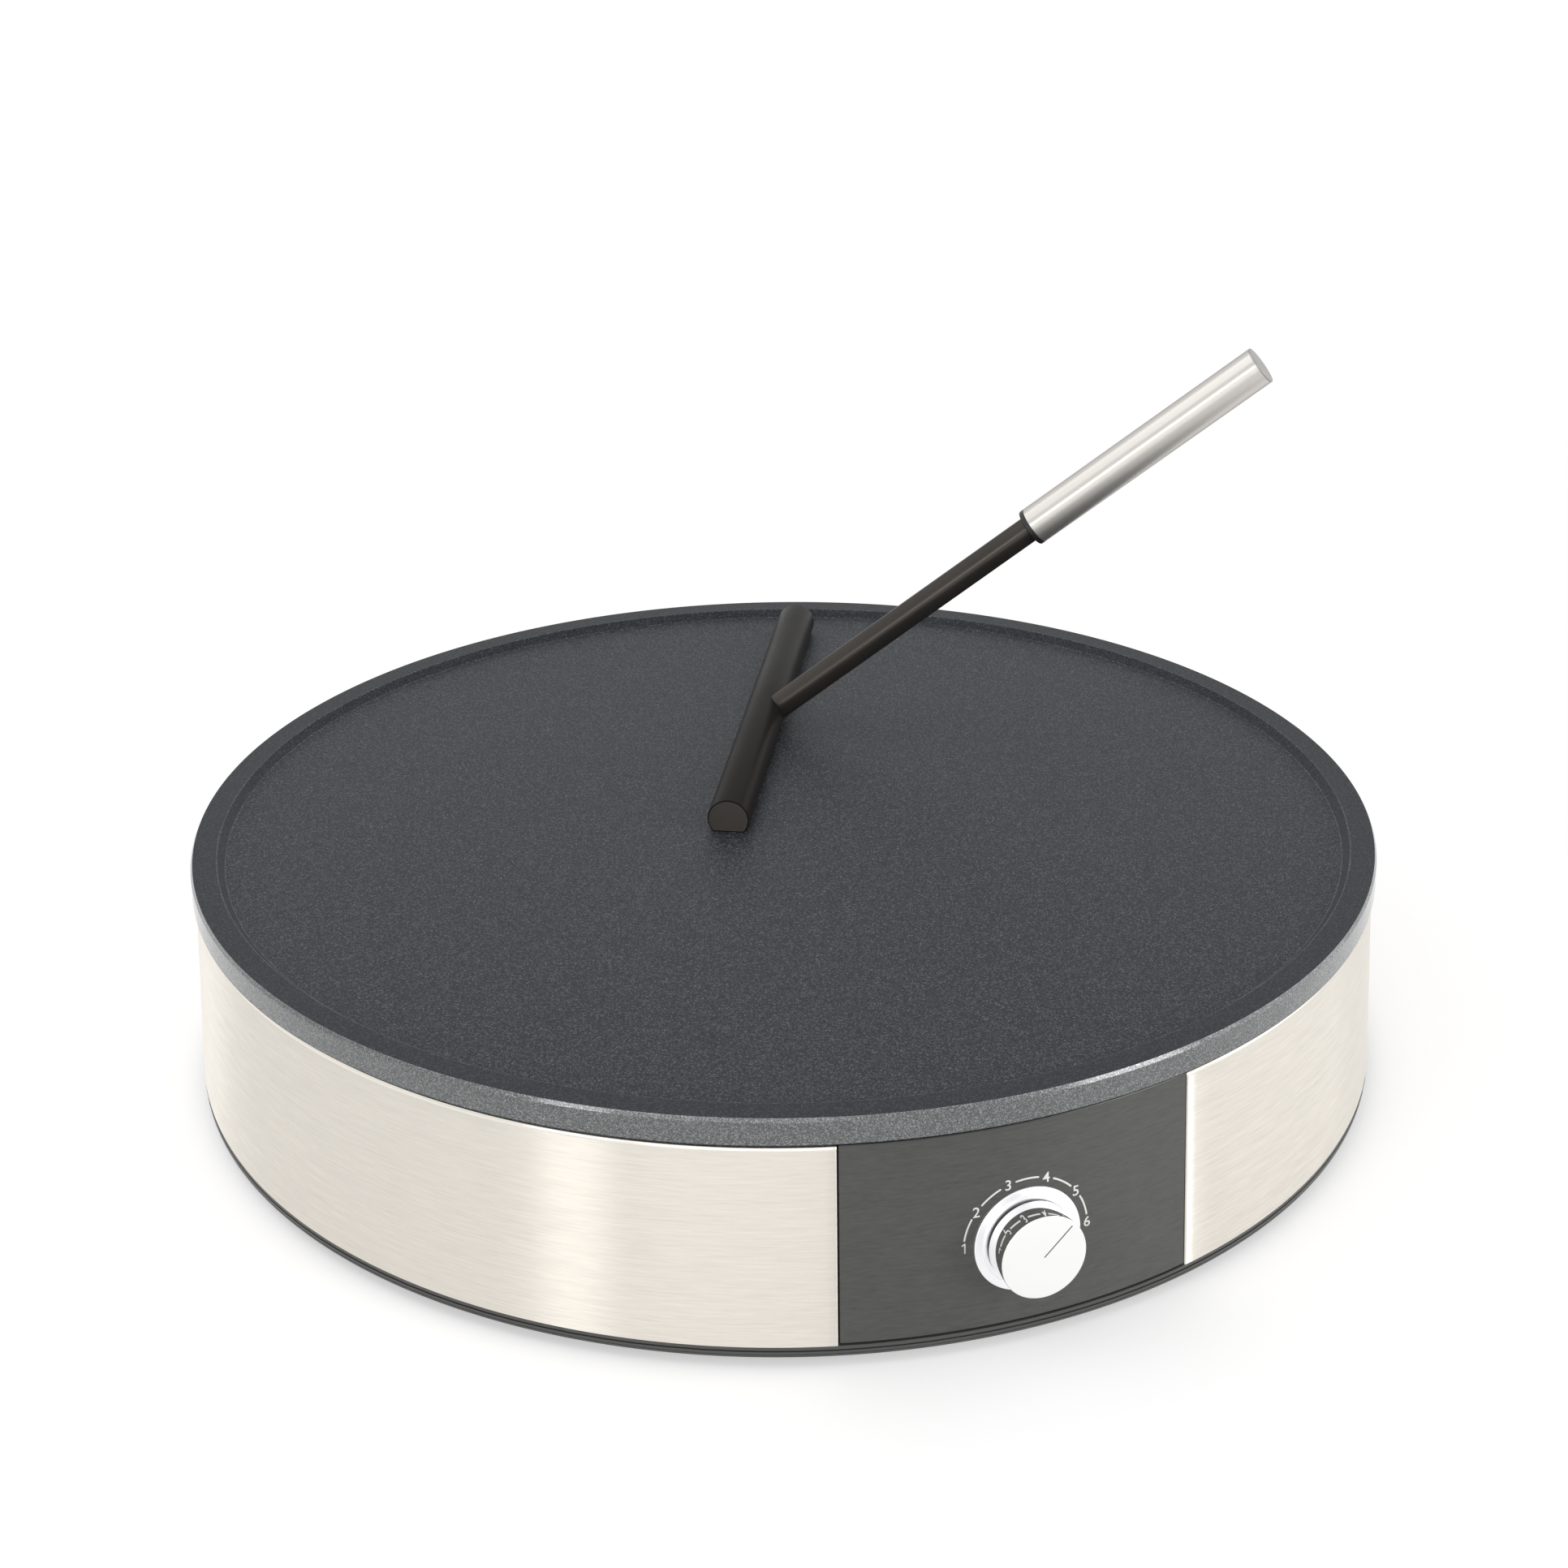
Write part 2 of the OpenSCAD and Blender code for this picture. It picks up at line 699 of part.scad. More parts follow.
module vent_slot() {
    straight = vent_l - vent_w;
    translate([vent_ring_r - straight / 2, 0, pan_z - eps]) {
        translate([0, -vent_w / 2, 0]) cube([straight, vent_w, pan_t + 2 * eps]);
        for (x = [0, straight]) translate([x, 0, 0]) cylinder(d = vent_w, h = pan_t + 2 * eps);
    }
}

// Gaps in the locating wall, for the folds of the sheets and for the gland
module upstand_notches() {
    notch_top = band_z + upstand_h + 1;
    gland_side = 3;
    gland_angle = (gland_neck_d + 2 * gland_side) * degrees_per_mm;
    for (side = [-1, 1]) {
        middle = front_angle + side * (panel_half_angle - seam_angle / 2);
        flared_wall(0, fold_depth + 1, band_z, notch_top, fold_notch_angle, middle - fold_notch_angle / 2);
    }
    flared_wall(0, fold_depth, band_z, notch_top, gland_angle, 90 - gland_angle / 2);
}

// Push-in feet, each with a stem and a barb above the pan's floor
module rubber_feet() {
    barb_d = foot_stem_d + 2.4;
    barb_h = 3;
    foot_chamfer = 1;
    color([0.16, 0.16, 0.17]) on_axis() around(foot_angles, foot_ring_r) {
        rotate_extrude() polygon([
            [0, 0],
            [foot_d / 2 - foot_chamfer, 0],
            [foot_d / 2, foot_chamfer],
            [foot_d / 2, pan_z],
            [foot_stem_d / 2, pan_z],
            [foot_stem_d / 2, band_z],
            [barb_d / 2, band_z],
            [foot_stem_d / 2 - 0.5, band_z + barb_h],
            [0, band_z + barb_h]
        ]);
    }
}

// ---------- dial and thermostat ----------

// Stepped ring whose back follows the curve of the panel
module dial_collar() {
    color([0.93, 0.93, 0.92]) difference() {
        at_dial() difference() {
            union() {
                translate([0, 0, -2]) cylinder(d = collar_d, h = 2 + collar_t);
                cylinder(d = collar_hub_d, h = collar_hub_h);
            }
            translate([0, 0, -3]) cylinder(d = panel_hole_d, h = 6);
        }
        on_axis() flared_core(0);
    }
}

module bush_nut() {
    color([0.75, 0.72, 0.60]) at_dial() translate([0, 0, collar_hub_h]) difference() {
        cylinder(d = nut_af / cos(30), h = nut_h, $fn = 6);
        translate([0, 0, -eps]) cylinder(d = bush_d + 2 * thread_clear, h = nut_h + 2 * eps);
    }
}

// Washer between the thermostat's shoulder and the curved back of the panel
module saddle_washer() {
    color([0.70, 0.70, 0.70]) intersection() {
        at_dial() translate([0, 0, 1 - case_back / 2])
            tube(saddle_d, bush_d + 2 * screw_clear, case_back);
        on_axis() flared_core(sheet_t);
        at_dial() translate([0, 0, shoulder_z]) cylinder(d = saddle_d + 2, h = case_back);
    }
}

module knob_cap() {
    color([0.95, 0.95, 0.94]) at_dial() rotate([0, 0, -pointer_turn]) difference() {
        rotate_extrude() polygon([
            [knob_back_d / 2 - knob_wall, knob_z0],
            [knob_back_d / 2, knob_z0],
            [knob_face_d / 2, knob_z1 - knob_chamfer],
            [knob_face_d / 2 - knob_chamfer, knob_z1],
            [0, knob_z1],
            [0, knob_z1 - knob_wall],
            [knob_face_d / 2 - knob_wall, knob_z1 - knob_wall]
        ]);
        translate([-pointer_w / 2, 0, knob_z1 - pointer_depth])
            cube([pointer_w, knob_face_d / 2 - 1, pointer_depth + eps]);
    }
}

// Moulded insert with the socket for the spindle
module knob_core() {
    skirt_clear = 0.1;
    skirt_r = knob_back_d / 2 - knob_wall - skirt_clear;
    skirt_t = 1.6;
    recess_h = 2.6;
    color([0.15, 0.15, 0.15]) at_dial() rotate([0, 0, -pointer_turn]) difference() {
        translate([0, 0, core_z0]) cylinder(r = skirt_r, h = core_z1 - core_z0);
        difference() {
            translate([0, 0, core_z0 - eps]) cylinder(r = skirt_r - skirt_t, h = recess_h);
            translate([0, 0, core_z0 - 1]) cylinder(d = bush_d + 1, h = recess_h + 2);
        }
        translate([0, 0, core_z0 - 1]) d_shaft(spindle_d + 2 * thread_clear, spindle_end - core_z0 + 1);
    }
}

// Shaft with a flat on its +Y side
module d_shaft(d, h) {
    difference() {
        cylinder(d = d, h = h);
        translate([-d, spindle_d / 2 - spindle_flat + (d - spindle_d) / 2, -eps])
            cube([2 * d, d, h + 2 * eps]);
    }
}

module thermostat_spindle() {
    flat_z = core_z0 - 0.3;
    end_gap = 0.2;
    color([0.78, 0.76, 0.70]) at_dial() rotate([0, 0, -pointer_turn]) {
        translate([0, 0, flat_z]) d_shaft(spindle_d, spindle_end - end_gap - flat_z);
        translate([0, 0, stop_z]) cylinder(d = spindle_d, h = flat_z - stop_z + eps);
        translate([0, 0, stop_z]) cylinder(d = stop_d, h = stop_t);
    }
}

// Case with its shoulder and threaded bush
module thermostat_case() {
    stop_gap = 0.3;
    color([0.80, 0.78, 0.72]) at_dial() difference() {
        union() {
            translate([-case_w / 2, -case_h / 2, case_z0]) cube([case_w, case_h, case_l]);
            translate([0, 0, case_z1 - eps]) cylinder(d = shoulder_d, h = shoulder_z - case_z1 + eps);
            translate([0, 0, case_z1 - eps]) cylinder(d = bush_d, h = bush_end - case_z1 + eps);
        }
        translate([0, 0, stop_z + stop_t])
            cylinder(d = spindle_d + 2 * spindle_clear, h = bush_end - stop_z);
        translate([0, 0, stop_z - stop_gap])
            cylinder(d = stop_d + 4 * spindle_clear, h = stop_t + 2 * stop_gap);
    }
}

module thermostat_tabs() {
    color([0.80, 0.68, 0.35]) at_dial() for (side = [-1, 1])
        translate([side * tab_x - tab_w / 2, -tab_t / 2, case_z0 - tab_l]) cube([tab_w, tab_t, tab_l]);
}

module sensor_bulb() {
    color([0.76, 0.52, 0.36]) on_axis() translate([-bulb_l / 2, bulb_y, bulb_z]) rotate([0, 90, 0])
        cylinder(d = bulb_d, h = bulb_l);
}

// From the bulb, through the heat shield and to the top of the thermostat
module capillary_tube() {
    approach = [16, 26, 1];
    case_top = from_dial([10, case_h / 2, case_z0 + 5]);
    rise = from_dial([0, 1, 0]) - from_dial([0, 0, 0]);
    color([0.76, 0.52, 0.36]) bent_wire([
        from_axis([bulb_l / 2, bulb_y, bulb_z]),
        from_axis([bulb_l / 2 + 4, bulb_y, bulb_z]),
        from_axis([bulb_l / 2 + 8, bulb_y, bulb_z]),
        from_axis([grommet_x, grommet_y, shield_z + 5]),
        from_axis([grommet_x, grommet_y, shield_z]),
        from_axis([grommet_x, grommet_y, shield_z - 5]),
        case_top + approach,
        case_top + rise * 5,
        case_top + rise * 2.5,
        case_top
    ], capillary_d);
}

// Saddle clips that press the bulb against the plate
module bulb_clips() {
    strap_l = 2 * bulb_clip_reach + small_head_d;
    outer_d = bulb_d + 2 * bulb_clip_t;
    color([0.72, 0.73, 0.74]) on_axis() for (x = [-clip_x, clip_x])
        translate([x - bulb_clip_w / 2, bulb_y, plate_z]) difference() {
            union() {
                translate([0, -strap_l / 2, -bulb_clip_t]) cube([bulb_clip_w, strap_l, bulb_clip_t]);
                translate([0, -outer_d / 2, bulb_z - plate_z])
                    cube([bulb_clip_w, outer_d, plate_z - bulb_z]);
                translate([0, 0, bulb_z - plate_z]) rotate([0, 90, 0])
                    cylinder(d = outer_d, h = bulb_clip_w);
            }
            translate([-eps, 0, bulb_z - plate_z]) rotate([0, 90, 0])
                cylinder(d = bulb_d + 2 * thread_clear, h = bulb_clip_w + 2 * eps);
            translate([-eps, -bulb_d / 2 - thread_clear, bulb_z - plate_z])
                cube([bulb_clip_w + 2 * eps, bulb_d + 2 * thread_clear, bulb_d]);
            translate([-eps, -outer_d, 0]) cube([bulb_clip_w + 2 * eps, 2 * outer_d, outer_d]);
            for (side = [-1, 1])
                translate([bulb_clip_w / 2, side * bulb_clip_reach, -bulb_clip_t - eps])
                    cylinder(d = small_screw_d + 2 * screw_clear, h = bulb_clip_t + 2 * eps);
        }
}

module bulb_clip_screws() {
    color([0.78, 0.78, 0.76]) on_axis() for (x = [-clip_x, clip_x], side = [-1, 1])
        translate([x, bulb_y + side * bulb_clip_reach, plate_z - bulb_clip_t])
            screw_up(small_screw_d, small_head_d, small_head_h, bulb_clip_t + small_tap - screw_end_gap);
}

// Disc cutoff under the heat shield, with two ears and two tabs
module thermal_cutoff() {
    ear_l = cutoff_d + 2 * cutoff_ear;
    tab_z = shield_z - cutoff_h;
    ear_w = 8;
    color([0.20, 0.18, 0.17]) on_axis() translate([0, cutoff_y, 0]) {
        translate([0, 0, tab_z]) cylinder(d = cutoff_d, h = cutoff_h);
        difference() {
            translate([-ear_w / 2, -ear_l / 2, shield_z - cutoff_ear_t]) cube([ear_w, ear_l, cutoff_ear_t]);
            for (side = [-1, 1]) translate([0, side * cutoff_screw_reach, shield_z - cutoff_ear_t - eps])
                cylinder(d = small_screw_d + 2 * screw_clear, h = cutoff_ear_t + 2 * eps);
        }
        translate([-cutoff_tab_reach, -tab_w / 2, tab_z]) cube([2 * cutoff_tab_reach, tab_w, tab_t]);
    }
}

module cutoff_screws() {
    tip_l = 1;
    color([0.78, 0.78, 0.76]) on_axis() for (side = [-1, 1])
        translate([0, cutoff_y + side * cutoff_screw_reach, shield_z - cutoff_ear_t])
            screw_up(small_screw_d, small_head_d, small_head_h, cutoff_ear_t + shield_t + tip_l);
}

// ---------- wiring and gland ----------

module terminal_block() {
    groove_w = 1.2;
    groove_h = 4;
    color([0.90, 0.89, 0.85]) on_axis() translate([0, block_y, 0]) difference() {
        translate([-block_w / 2, -block_l / 2, band_z]) cube([block_w, block_l, block_h]);
        for (i = [-1, 0, 1]) translate([i * block_pitch, 0, 0]) {
            translate([0, -block_l / 2 - eps, block_hole_z]) rotate([-90, 0, 0])
                cylinder(d = block_hole_d, h = block_l + 2 * eps);
            translate([0, 0, block_hole_z]) cylinder(d = block_screw_d + 4 * thread_clear, h = block_h);
        }
        for (i = [-0.5, 0.5])
            translate([i * block_pitch - groove_w / 2, -block_l, band_z + block_h - groove_h])
                cube([groove_w, 2 * block_l, groove_h + 1]);
    }
}

module terminal_screws() {
    foot_z = block_hole_z + wire_d / 2 + thread_clear;
    screw_l = band_z + block_h - foot_z - 1;
    slot_w = 0.8;
    color([0.82, 0.70, 0.38]) on_axis() for (i = [-1, 0, 1])
        translate([i * block_pitch, block_y, foot_z]) difference() {
            cylinder(d = block_screw_d, h = screw_l);
            translate([-block_screw_d, -slot_w / 2, screw_l - slot_w]) cube([2 * block_screw_d, slot_w, 1]);
        }
}

// The straight end of a wire in the block, from its tip forwards
function block_end(i) = [
    for (reach = [-2, block_l / 2, block_l / 2 + 7])
        from_axis([i * block_pitch, block_y - reach, block_hole_z])
];

// The straight end of a wire at a thermostat tab, from its tip backwards
function tab_end(side) = [
    for (reach = [0, 5, 11]) from_dial([side * tab_x, 0, case_z0 - tab_l - reach])
];

// The straight end of a wire at a pin of the element, from its tip downwards
function pin_end(side) = [
    for (reach = [0, 5, 10]) from_axis([side * terminal_x, terminal_y, pin_z - reach])
];

// The straight end of a wire at a tab of the cutoff, from its tip outwards
function cutoff_end(side) = [
    for (reach = [0, 4, 9])
        from_axis([side * (cutoff_tab_reach + reach), cutoff_y, shield_z - cutoff_h + tab_t / 2])
];

function reversed(points) = [for (i = [len(points) - 1 : -1 : 0]) points[i]];

module live_wire() {
    lane_x = block_pitch + lane_offset;
    color([0.45, 0.26, 0.14]) bent_wire([
        each block_end(1),
        from_axis([lane_x - 3, block_y - 38, floor_wire_z + 1]),
        from_axis([lane_x, block_y - 62, floor_wire_z]),
        from_axis([lane_x, 0, floor_wire_z]),
        from_axis([lane_x, -60, floor_wire_z]),
        from_axis([lane_x - 4, -90, floor_wire_z + 5]),
        each reversed(tab_end(1))
    ], wire_d);
}

module switched_wire() {
    color([0.20, 0.20, 0.22]) bent_wire([
        each tab_end(-1),
        from_axis([-tab_x - 20, terminal_y - 6, shield_z - cutoff_h - 14]),
        from_axis([-terminal_x - 14, terminal_y + 14, shield_z - cutoff_h - 4]),
        each reversed(cutoff_end(-1))
    ], wire_d);
}

module element_wire() {
    color([0.20, 0.20, 0.22]) bent_wire([
        each cutoff_end(1),
        from_axis([terminal_x + 12, cutoff_y - 14, pin_z - 5]),
        from_axis([terminal_x + 6, terminal_y + 6, pin_z - 14]),
        each reversed(pin_end(1))
    ], wire_d);
}

module neutral_wire() {
    lane_x = -block_pitch - lane_offset;
    color([0.20, 0.36, 0.62]) bent_wire([
        each block_end(-1),
        from_axis([lane_x + 3, block_y - 38, floor_wire_z + 1]),
        from_axis([lane_x, block_y - 62, floor_wire_z]),
        from_axis([lane_x, 0, floor_wire_z]),
        from_axis([lane_x, -60, floor_wire_z + 1]),
        from_axis([lane_x + 2, -90, (floor_wire_z + pin_z) / 2]),
        each reversed(pin_end(-1))
    ], wire_d);
}

// Tag riveted under the heat shield
module earth_tag() {
    color([0.82, 0.70, 0.38]) on_axis() translate([earth_x, earth_y, shield_z - earth_t]) {
        cylinder(d = earth_d, h = earth_t);
        translate([-tab_w / 2, 0, earth_t - tab_t]) cube([tab_w, earth_d / 2 + earth_tab_l, tab_t]);
    }
}

// From the block's middle terminal to the underside of the tag
module earth_wire() {
    tag_end = from_axis([earth_x, earth_y + earth_d / 2 + earth_tab_l, shield_z]);
    under = -tab_t - wire_d / 2;
    color([0.45, 0.62, 0.20]) bent_wire([
        each block_end(0),
        from_axis([8, block_y - 26, band_z + block_h + 6]),
        tag_end + [-6, 12, under - 9],
        tag_end + [0, 4, under - 1],
        tag_end + [0, -2, under],
        tag_end + [0, -5, under]
    ], wire_d);
}

// Bush for the power cord, through the band at the back
module cord_gland() {
    start_y = skin_r(gland_z) - sheet_t - gland_inner_l;
    snap_ring_d = gland_neck_d + 2.4;
    snap_gap = 1.5;
    flange_root = 3;
    color([0.10, 0.10, 0.10]) on_axis() difference() {
        union() {
            translate([0, start_y, gland_z]) rotate([-90, 0, 0])
                cylinder(d = gland_neck_d, h = gland_reach - start_y);
            difference() {
                translate([0, skin_r(gland_z) - flange_root, gland_z]) rotate([-90, 0, 0])
                    cylinder(d = gland_flange_d, h = gland_flange_h + flange_root);
                flared_core(0);
            }
            translate([0, start_y, gland_z]) rotate([-90, 0, 0])
                cylinder(d = snap_ring_d, h = gland_inner_l - snap_gap);
        }
        translate([0, start_y - eps, gland_z]) rotate([-90, 0, 0])
            cylinder(d = cord_hole_d, h = gland_reach - start_y + 2 * eps);
    }
}

// ---------- batter spreader ----------

// Spreader's frame: x along the handle's foot print, y along the bar, z up from the plate
module at_spreader() {
    on_axis() translate([bar_x, bar_y, surface_z]) rotate([0, 0, bar_turn - 90]) children();
}

// Frame of the handle: z along it, from the middle of the bar
module at_handle() {
    at_spreader() translate([0, 0, handle_root_h]) rotate([0, 90 - handle_tilt, 0]) children();
}

// D-section bar that lies on its flat
module spreader_bar() {
    color([0.18, 0.17, 0.16]) difference() {
        at_spreader() difference() {
            translate([0, -bar_l / 2, bar_h - bar_d / 2]) rotate([-90, 0, 0])
                cylinder(d = bar_d, h = bar_l);
            translate([-bar_d, -bar_l, -bar_d]) cube([2 * bar_d, 2 * bar_l, bar_d]);
        }
        at_handle() translate([0, 0, rod_foot]) cylinder(d = rod_d, h = bar_d);
    }
}

module spreader_rod() {
    inside_l = 20;
    color([0.18, 0.17, 0.16]) at_handle() translate([0, 0, rod_foot])
        cylinder(d = rod_d, h = grip_start + inside_l - rod_foot);
}

// Ring below the sleeve, with a neck inside it
module grip_ring() {
    neck_l = 14;
    color([0.10, 0.10, 0.10]) at_handle() translate([0, 0, grip_start - grip_ring_l]) difference() {
        union() {
            cylinder(d = grip_d, h = grip_ring_l);
            cylinder(d = grip_d - 2 * grip_wall, h = grip_ring_l + neck_l);
        }
        translate([0, 0, -eps]) cylinder(d = rod_d, h = grip_ring_l + neck_l + 2 * eps);
    }
}

module grip_sleeve() {
    color([0.80, 0.79, 0.77]) at_handle() translate([0, 0, grip_start])
        tube(grip_d, grip_d - 2 * grip_wall, grip_l - grip_cap_t);
}

// Cap that closes the top of the sleeve
module grip_cap() {
    plug_l = 8;
    color([0.74, 0.73, 0.72]) at_handle() translate([0, 0, grip_start + grip_l - grip_cap_t]) {
        cylinder(d = grip_d, h = grip_cap_t);
        translate([0, 0, -plug_l]) cylinder(d = grip_d - 2 * grip_wall, h = plug_l + eps);
    }
}

griddle_plate();
heating_element();
pin_insulators();
element_clips();
element_clip_screws();
heat_shield();
plate_spacers();
plate_screws();
steel_band();
control_panel();
base_pan();
rubber_feet();
dial_collar();
bush_nut();
saddle_washer();
knob_cap();
knob_core();
thermostat_spindle();
thermostat_case();
thermostat_tabs();
sensor_bulb();
capillary_tube();
bulb_clips();
bulb_clip_screws();
thermal_cutoff();
cutoff_screws();
terminal_block();
terminal_screws();
earth_tag();
live_wire();
switched_wire();
element_wire();
neutral_wire();
earth_wire();
cord_gland();
spreader_bar();
spreader_rod();
grip_ring();
grip_sleeve();
grip_cap();
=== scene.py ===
import json
from math import atan2, cos, degrees, hypot, pi, radians, sin, tan

import bmesh
import bpy
from mathutils import Matrix, Vector


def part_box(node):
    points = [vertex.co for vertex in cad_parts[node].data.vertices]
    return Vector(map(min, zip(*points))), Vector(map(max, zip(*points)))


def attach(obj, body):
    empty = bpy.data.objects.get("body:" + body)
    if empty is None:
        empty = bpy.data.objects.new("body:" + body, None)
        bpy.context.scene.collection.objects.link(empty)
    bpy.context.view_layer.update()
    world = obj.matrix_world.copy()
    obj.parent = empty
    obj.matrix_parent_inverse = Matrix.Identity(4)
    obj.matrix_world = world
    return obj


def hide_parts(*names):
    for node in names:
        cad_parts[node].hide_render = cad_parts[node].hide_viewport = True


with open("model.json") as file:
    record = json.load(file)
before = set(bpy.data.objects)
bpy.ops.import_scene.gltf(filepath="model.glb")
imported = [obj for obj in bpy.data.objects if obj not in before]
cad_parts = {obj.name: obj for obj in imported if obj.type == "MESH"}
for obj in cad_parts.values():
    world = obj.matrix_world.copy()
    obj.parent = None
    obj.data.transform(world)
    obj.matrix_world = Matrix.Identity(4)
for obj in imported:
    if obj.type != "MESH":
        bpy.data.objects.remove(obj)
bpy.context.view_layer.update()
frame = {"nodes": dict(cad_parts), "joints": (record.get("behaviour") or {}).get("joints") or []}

# ---------- sizes in millimetres, as in the construction ----------

MM = 0.001
PLATE_R = 172.8
PLATE_LOW_R = 173.0
PLATE_EDGE_W = 0.6
PLATE_EDGE_H = 1.1
WELL_R = 163.1
RIM_IN_R = 165.3
PLATE_Z = 63.7
PLATE_TOP_Z = 71.4
SURFACE_Z = 69.1
RIB_Z = 57.7
RIB_R = (96.7, 113.3)
GROOVE_R = 105.0
GROOVE_HALF_W = 3.4
GROOVE_MID_Z = 62.0
BOSS_R = 7.0
BOSS_HOLE_R = 2.6
BOSS_SUNK = 0.4
BAND_Z = 6.4
BAND_TOP_Z = 63.1
BAND_TOP_R = 171.9
BAND_LOW_R = 175.0
BAND_H = BAND_TOP_Z - BAND_Z
POST_INSET = 43.0
POST_RING_R = BAND_TOP_R - POST_INSET
QUARTER_TURNS = (45, 135, 225, 315)
SHEET_T = 0.8
LIP_W = 6.0
FOLD_DEPTH = 8.0
BAND_BEND = 1.5
BAND_FOLD_BEND = 0.6
PANEL_BEND = 0.5
PANEL_RISE = 0.8
PANEL_HALF_W = 48.5
SEAM_GAP = 0.22
PANEL_HOLE_R = 5.3
GLAND_Z = 20.4
GLAND_HOLE_R = 6.6
FOOT_R = 9.0
FOOT_STEM_R = 3.5
FOOT_BARB_R = 4.7
FOOT_BARB_H = 3.0
FOOT_GROOVE_H = 0.35
FOOT_INSET = 24.0
FOOT_RING_R = BAND_LOW_R - FOOT_INSET
PAN_Z = 4.0
PAN_EDGE_H = 0.8
PAN_EDGE_W = 5.0
PAN_EDGE_INSET = 0.1
BAR_L = 160.0
BAR_D = 12.3
BAR_H = 10.2
BAR_TURN = 62.2
BAR_X = 18.9
BAR_Y = 67.4
ROD_R = 4.05
ROD_FOOT = 1.38
ROD_END = 127.7
HANDLE_TILT = 38.7
HANDLE_ROOT_H = 2.8
GRIP_START = 107.7
GRIP_END = 191.2
GRIP_R = 5.95
GRIP_BORE_R = 5.15

plate_low, plate_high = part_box("griddle_plate")
AXIS_Y = (plate_low.y + plate_high.y) / 2 / MM


def skin_r(z):
    """Outer radius of the band and the panel at a height."""
    return BAND_LOW_R - (z - BAND_Z) * (BAND_LOW_R - BAND_TOP_R) / BAND_H


knob_joint = next(j for j in frame["joints"] if j["name"] == "knob_turn")
dial_out = -Vector(knob_joint["axis"]).normalized()
dial_right = Vector((1, 0, 0))
dial_up = dial_out.cross(dial_right)
DIAL = Matrix.Translation(Vector(knob_joint["pos_m"]) / MM) @ Matrix(
    (dial_right, dial_up, dial_out)
).transposed().to_4x4()
ON_AXIS = Matrix.Translation((0, AXIS_Y, 0))
SPREADER = (
    Matrix.Translation((BAR_X, BAR_Y + AXIS_Y, SURFACE_Z))
    @ Matrix.Rotation(radians(BAR_TURN - 90), 4, "Z")
)
HANDLE = (
    SPREADER
    @ Matrix.Translation((0, 0, HANDLE_ROOT_H))
    @ Matrix.Rotation(radians(90 - HANDLE_TILT), 4, "Y")
)
GLAND = Matrix.Translation((0, AXIS_Y, GLAND_Z)) @ Matrix.Rotation(radians(-90), 4, "X")


def on_ring(turn, r):
    """Upright frame on a ring around the plate's axis."""
    return ON_AXIS @ (Matrix.Rotation(radians(turn), 4, "Z") @ Matrix.Translation((r, 0, 0)))


# ---------- forms ----------

ROUND_STEPS = 6
# Share of a rounding's radius at which an extra point on each flat holds the shading
ROUND_LEAD = 0.15
TOOL_SIDES = 64
SHARP_ANGLE = 35


def rounded(corners, closed=False):
    """Path through (x, y) or (x, y, radius) corners, with each radius worked in."""
    path = []
    count = len(corners)
    for i, corner in enumerate(corners):
        here = Vector(corner[:2])
        radius = corner[2] if len(corner) > 2 else 0
        if not radius or (not closed and i in (0, count - 1)):
            path.append(here)
            continue
        before = (Vector(corners[i - 1][:2]) - here).normalized()
        after = (Vector(corners[(i + 1) % count][:2]) - here).normalized()
        half = before.angle(after) / 2
        reach = radius / tan(half)
        middle = here + (before + after).normalized() * (radius / sin(half))
        start = here + before * reach - middle
        end = here + after * reach - middle
        path.append(middle + start + before * radius * ROUND_LEAD)
        for k in range(ROUND_STEPS + 1):
            share = k / ROUND_STEPS
            turn = pi - 2 * half
            weight_0 = sin((1 - share) * turn) / sin(turn)
            weight_1 = sin(share * turn) / sin(turn)
            path.append(middle + start * weight_0 + end * weight_1)
        path.append(middle + end + after * radius * ROUND_LEAD)
    return path


def circle_path(x, y, r, start, end, steps):
    """Points on an arc, between two angles in degrees."""
    angles = [radians(start + (end - start) * k / steps) for k in range(steps + 1)]
    return [(x + r * cos(a), y + r * sin(a)) for a in angles]


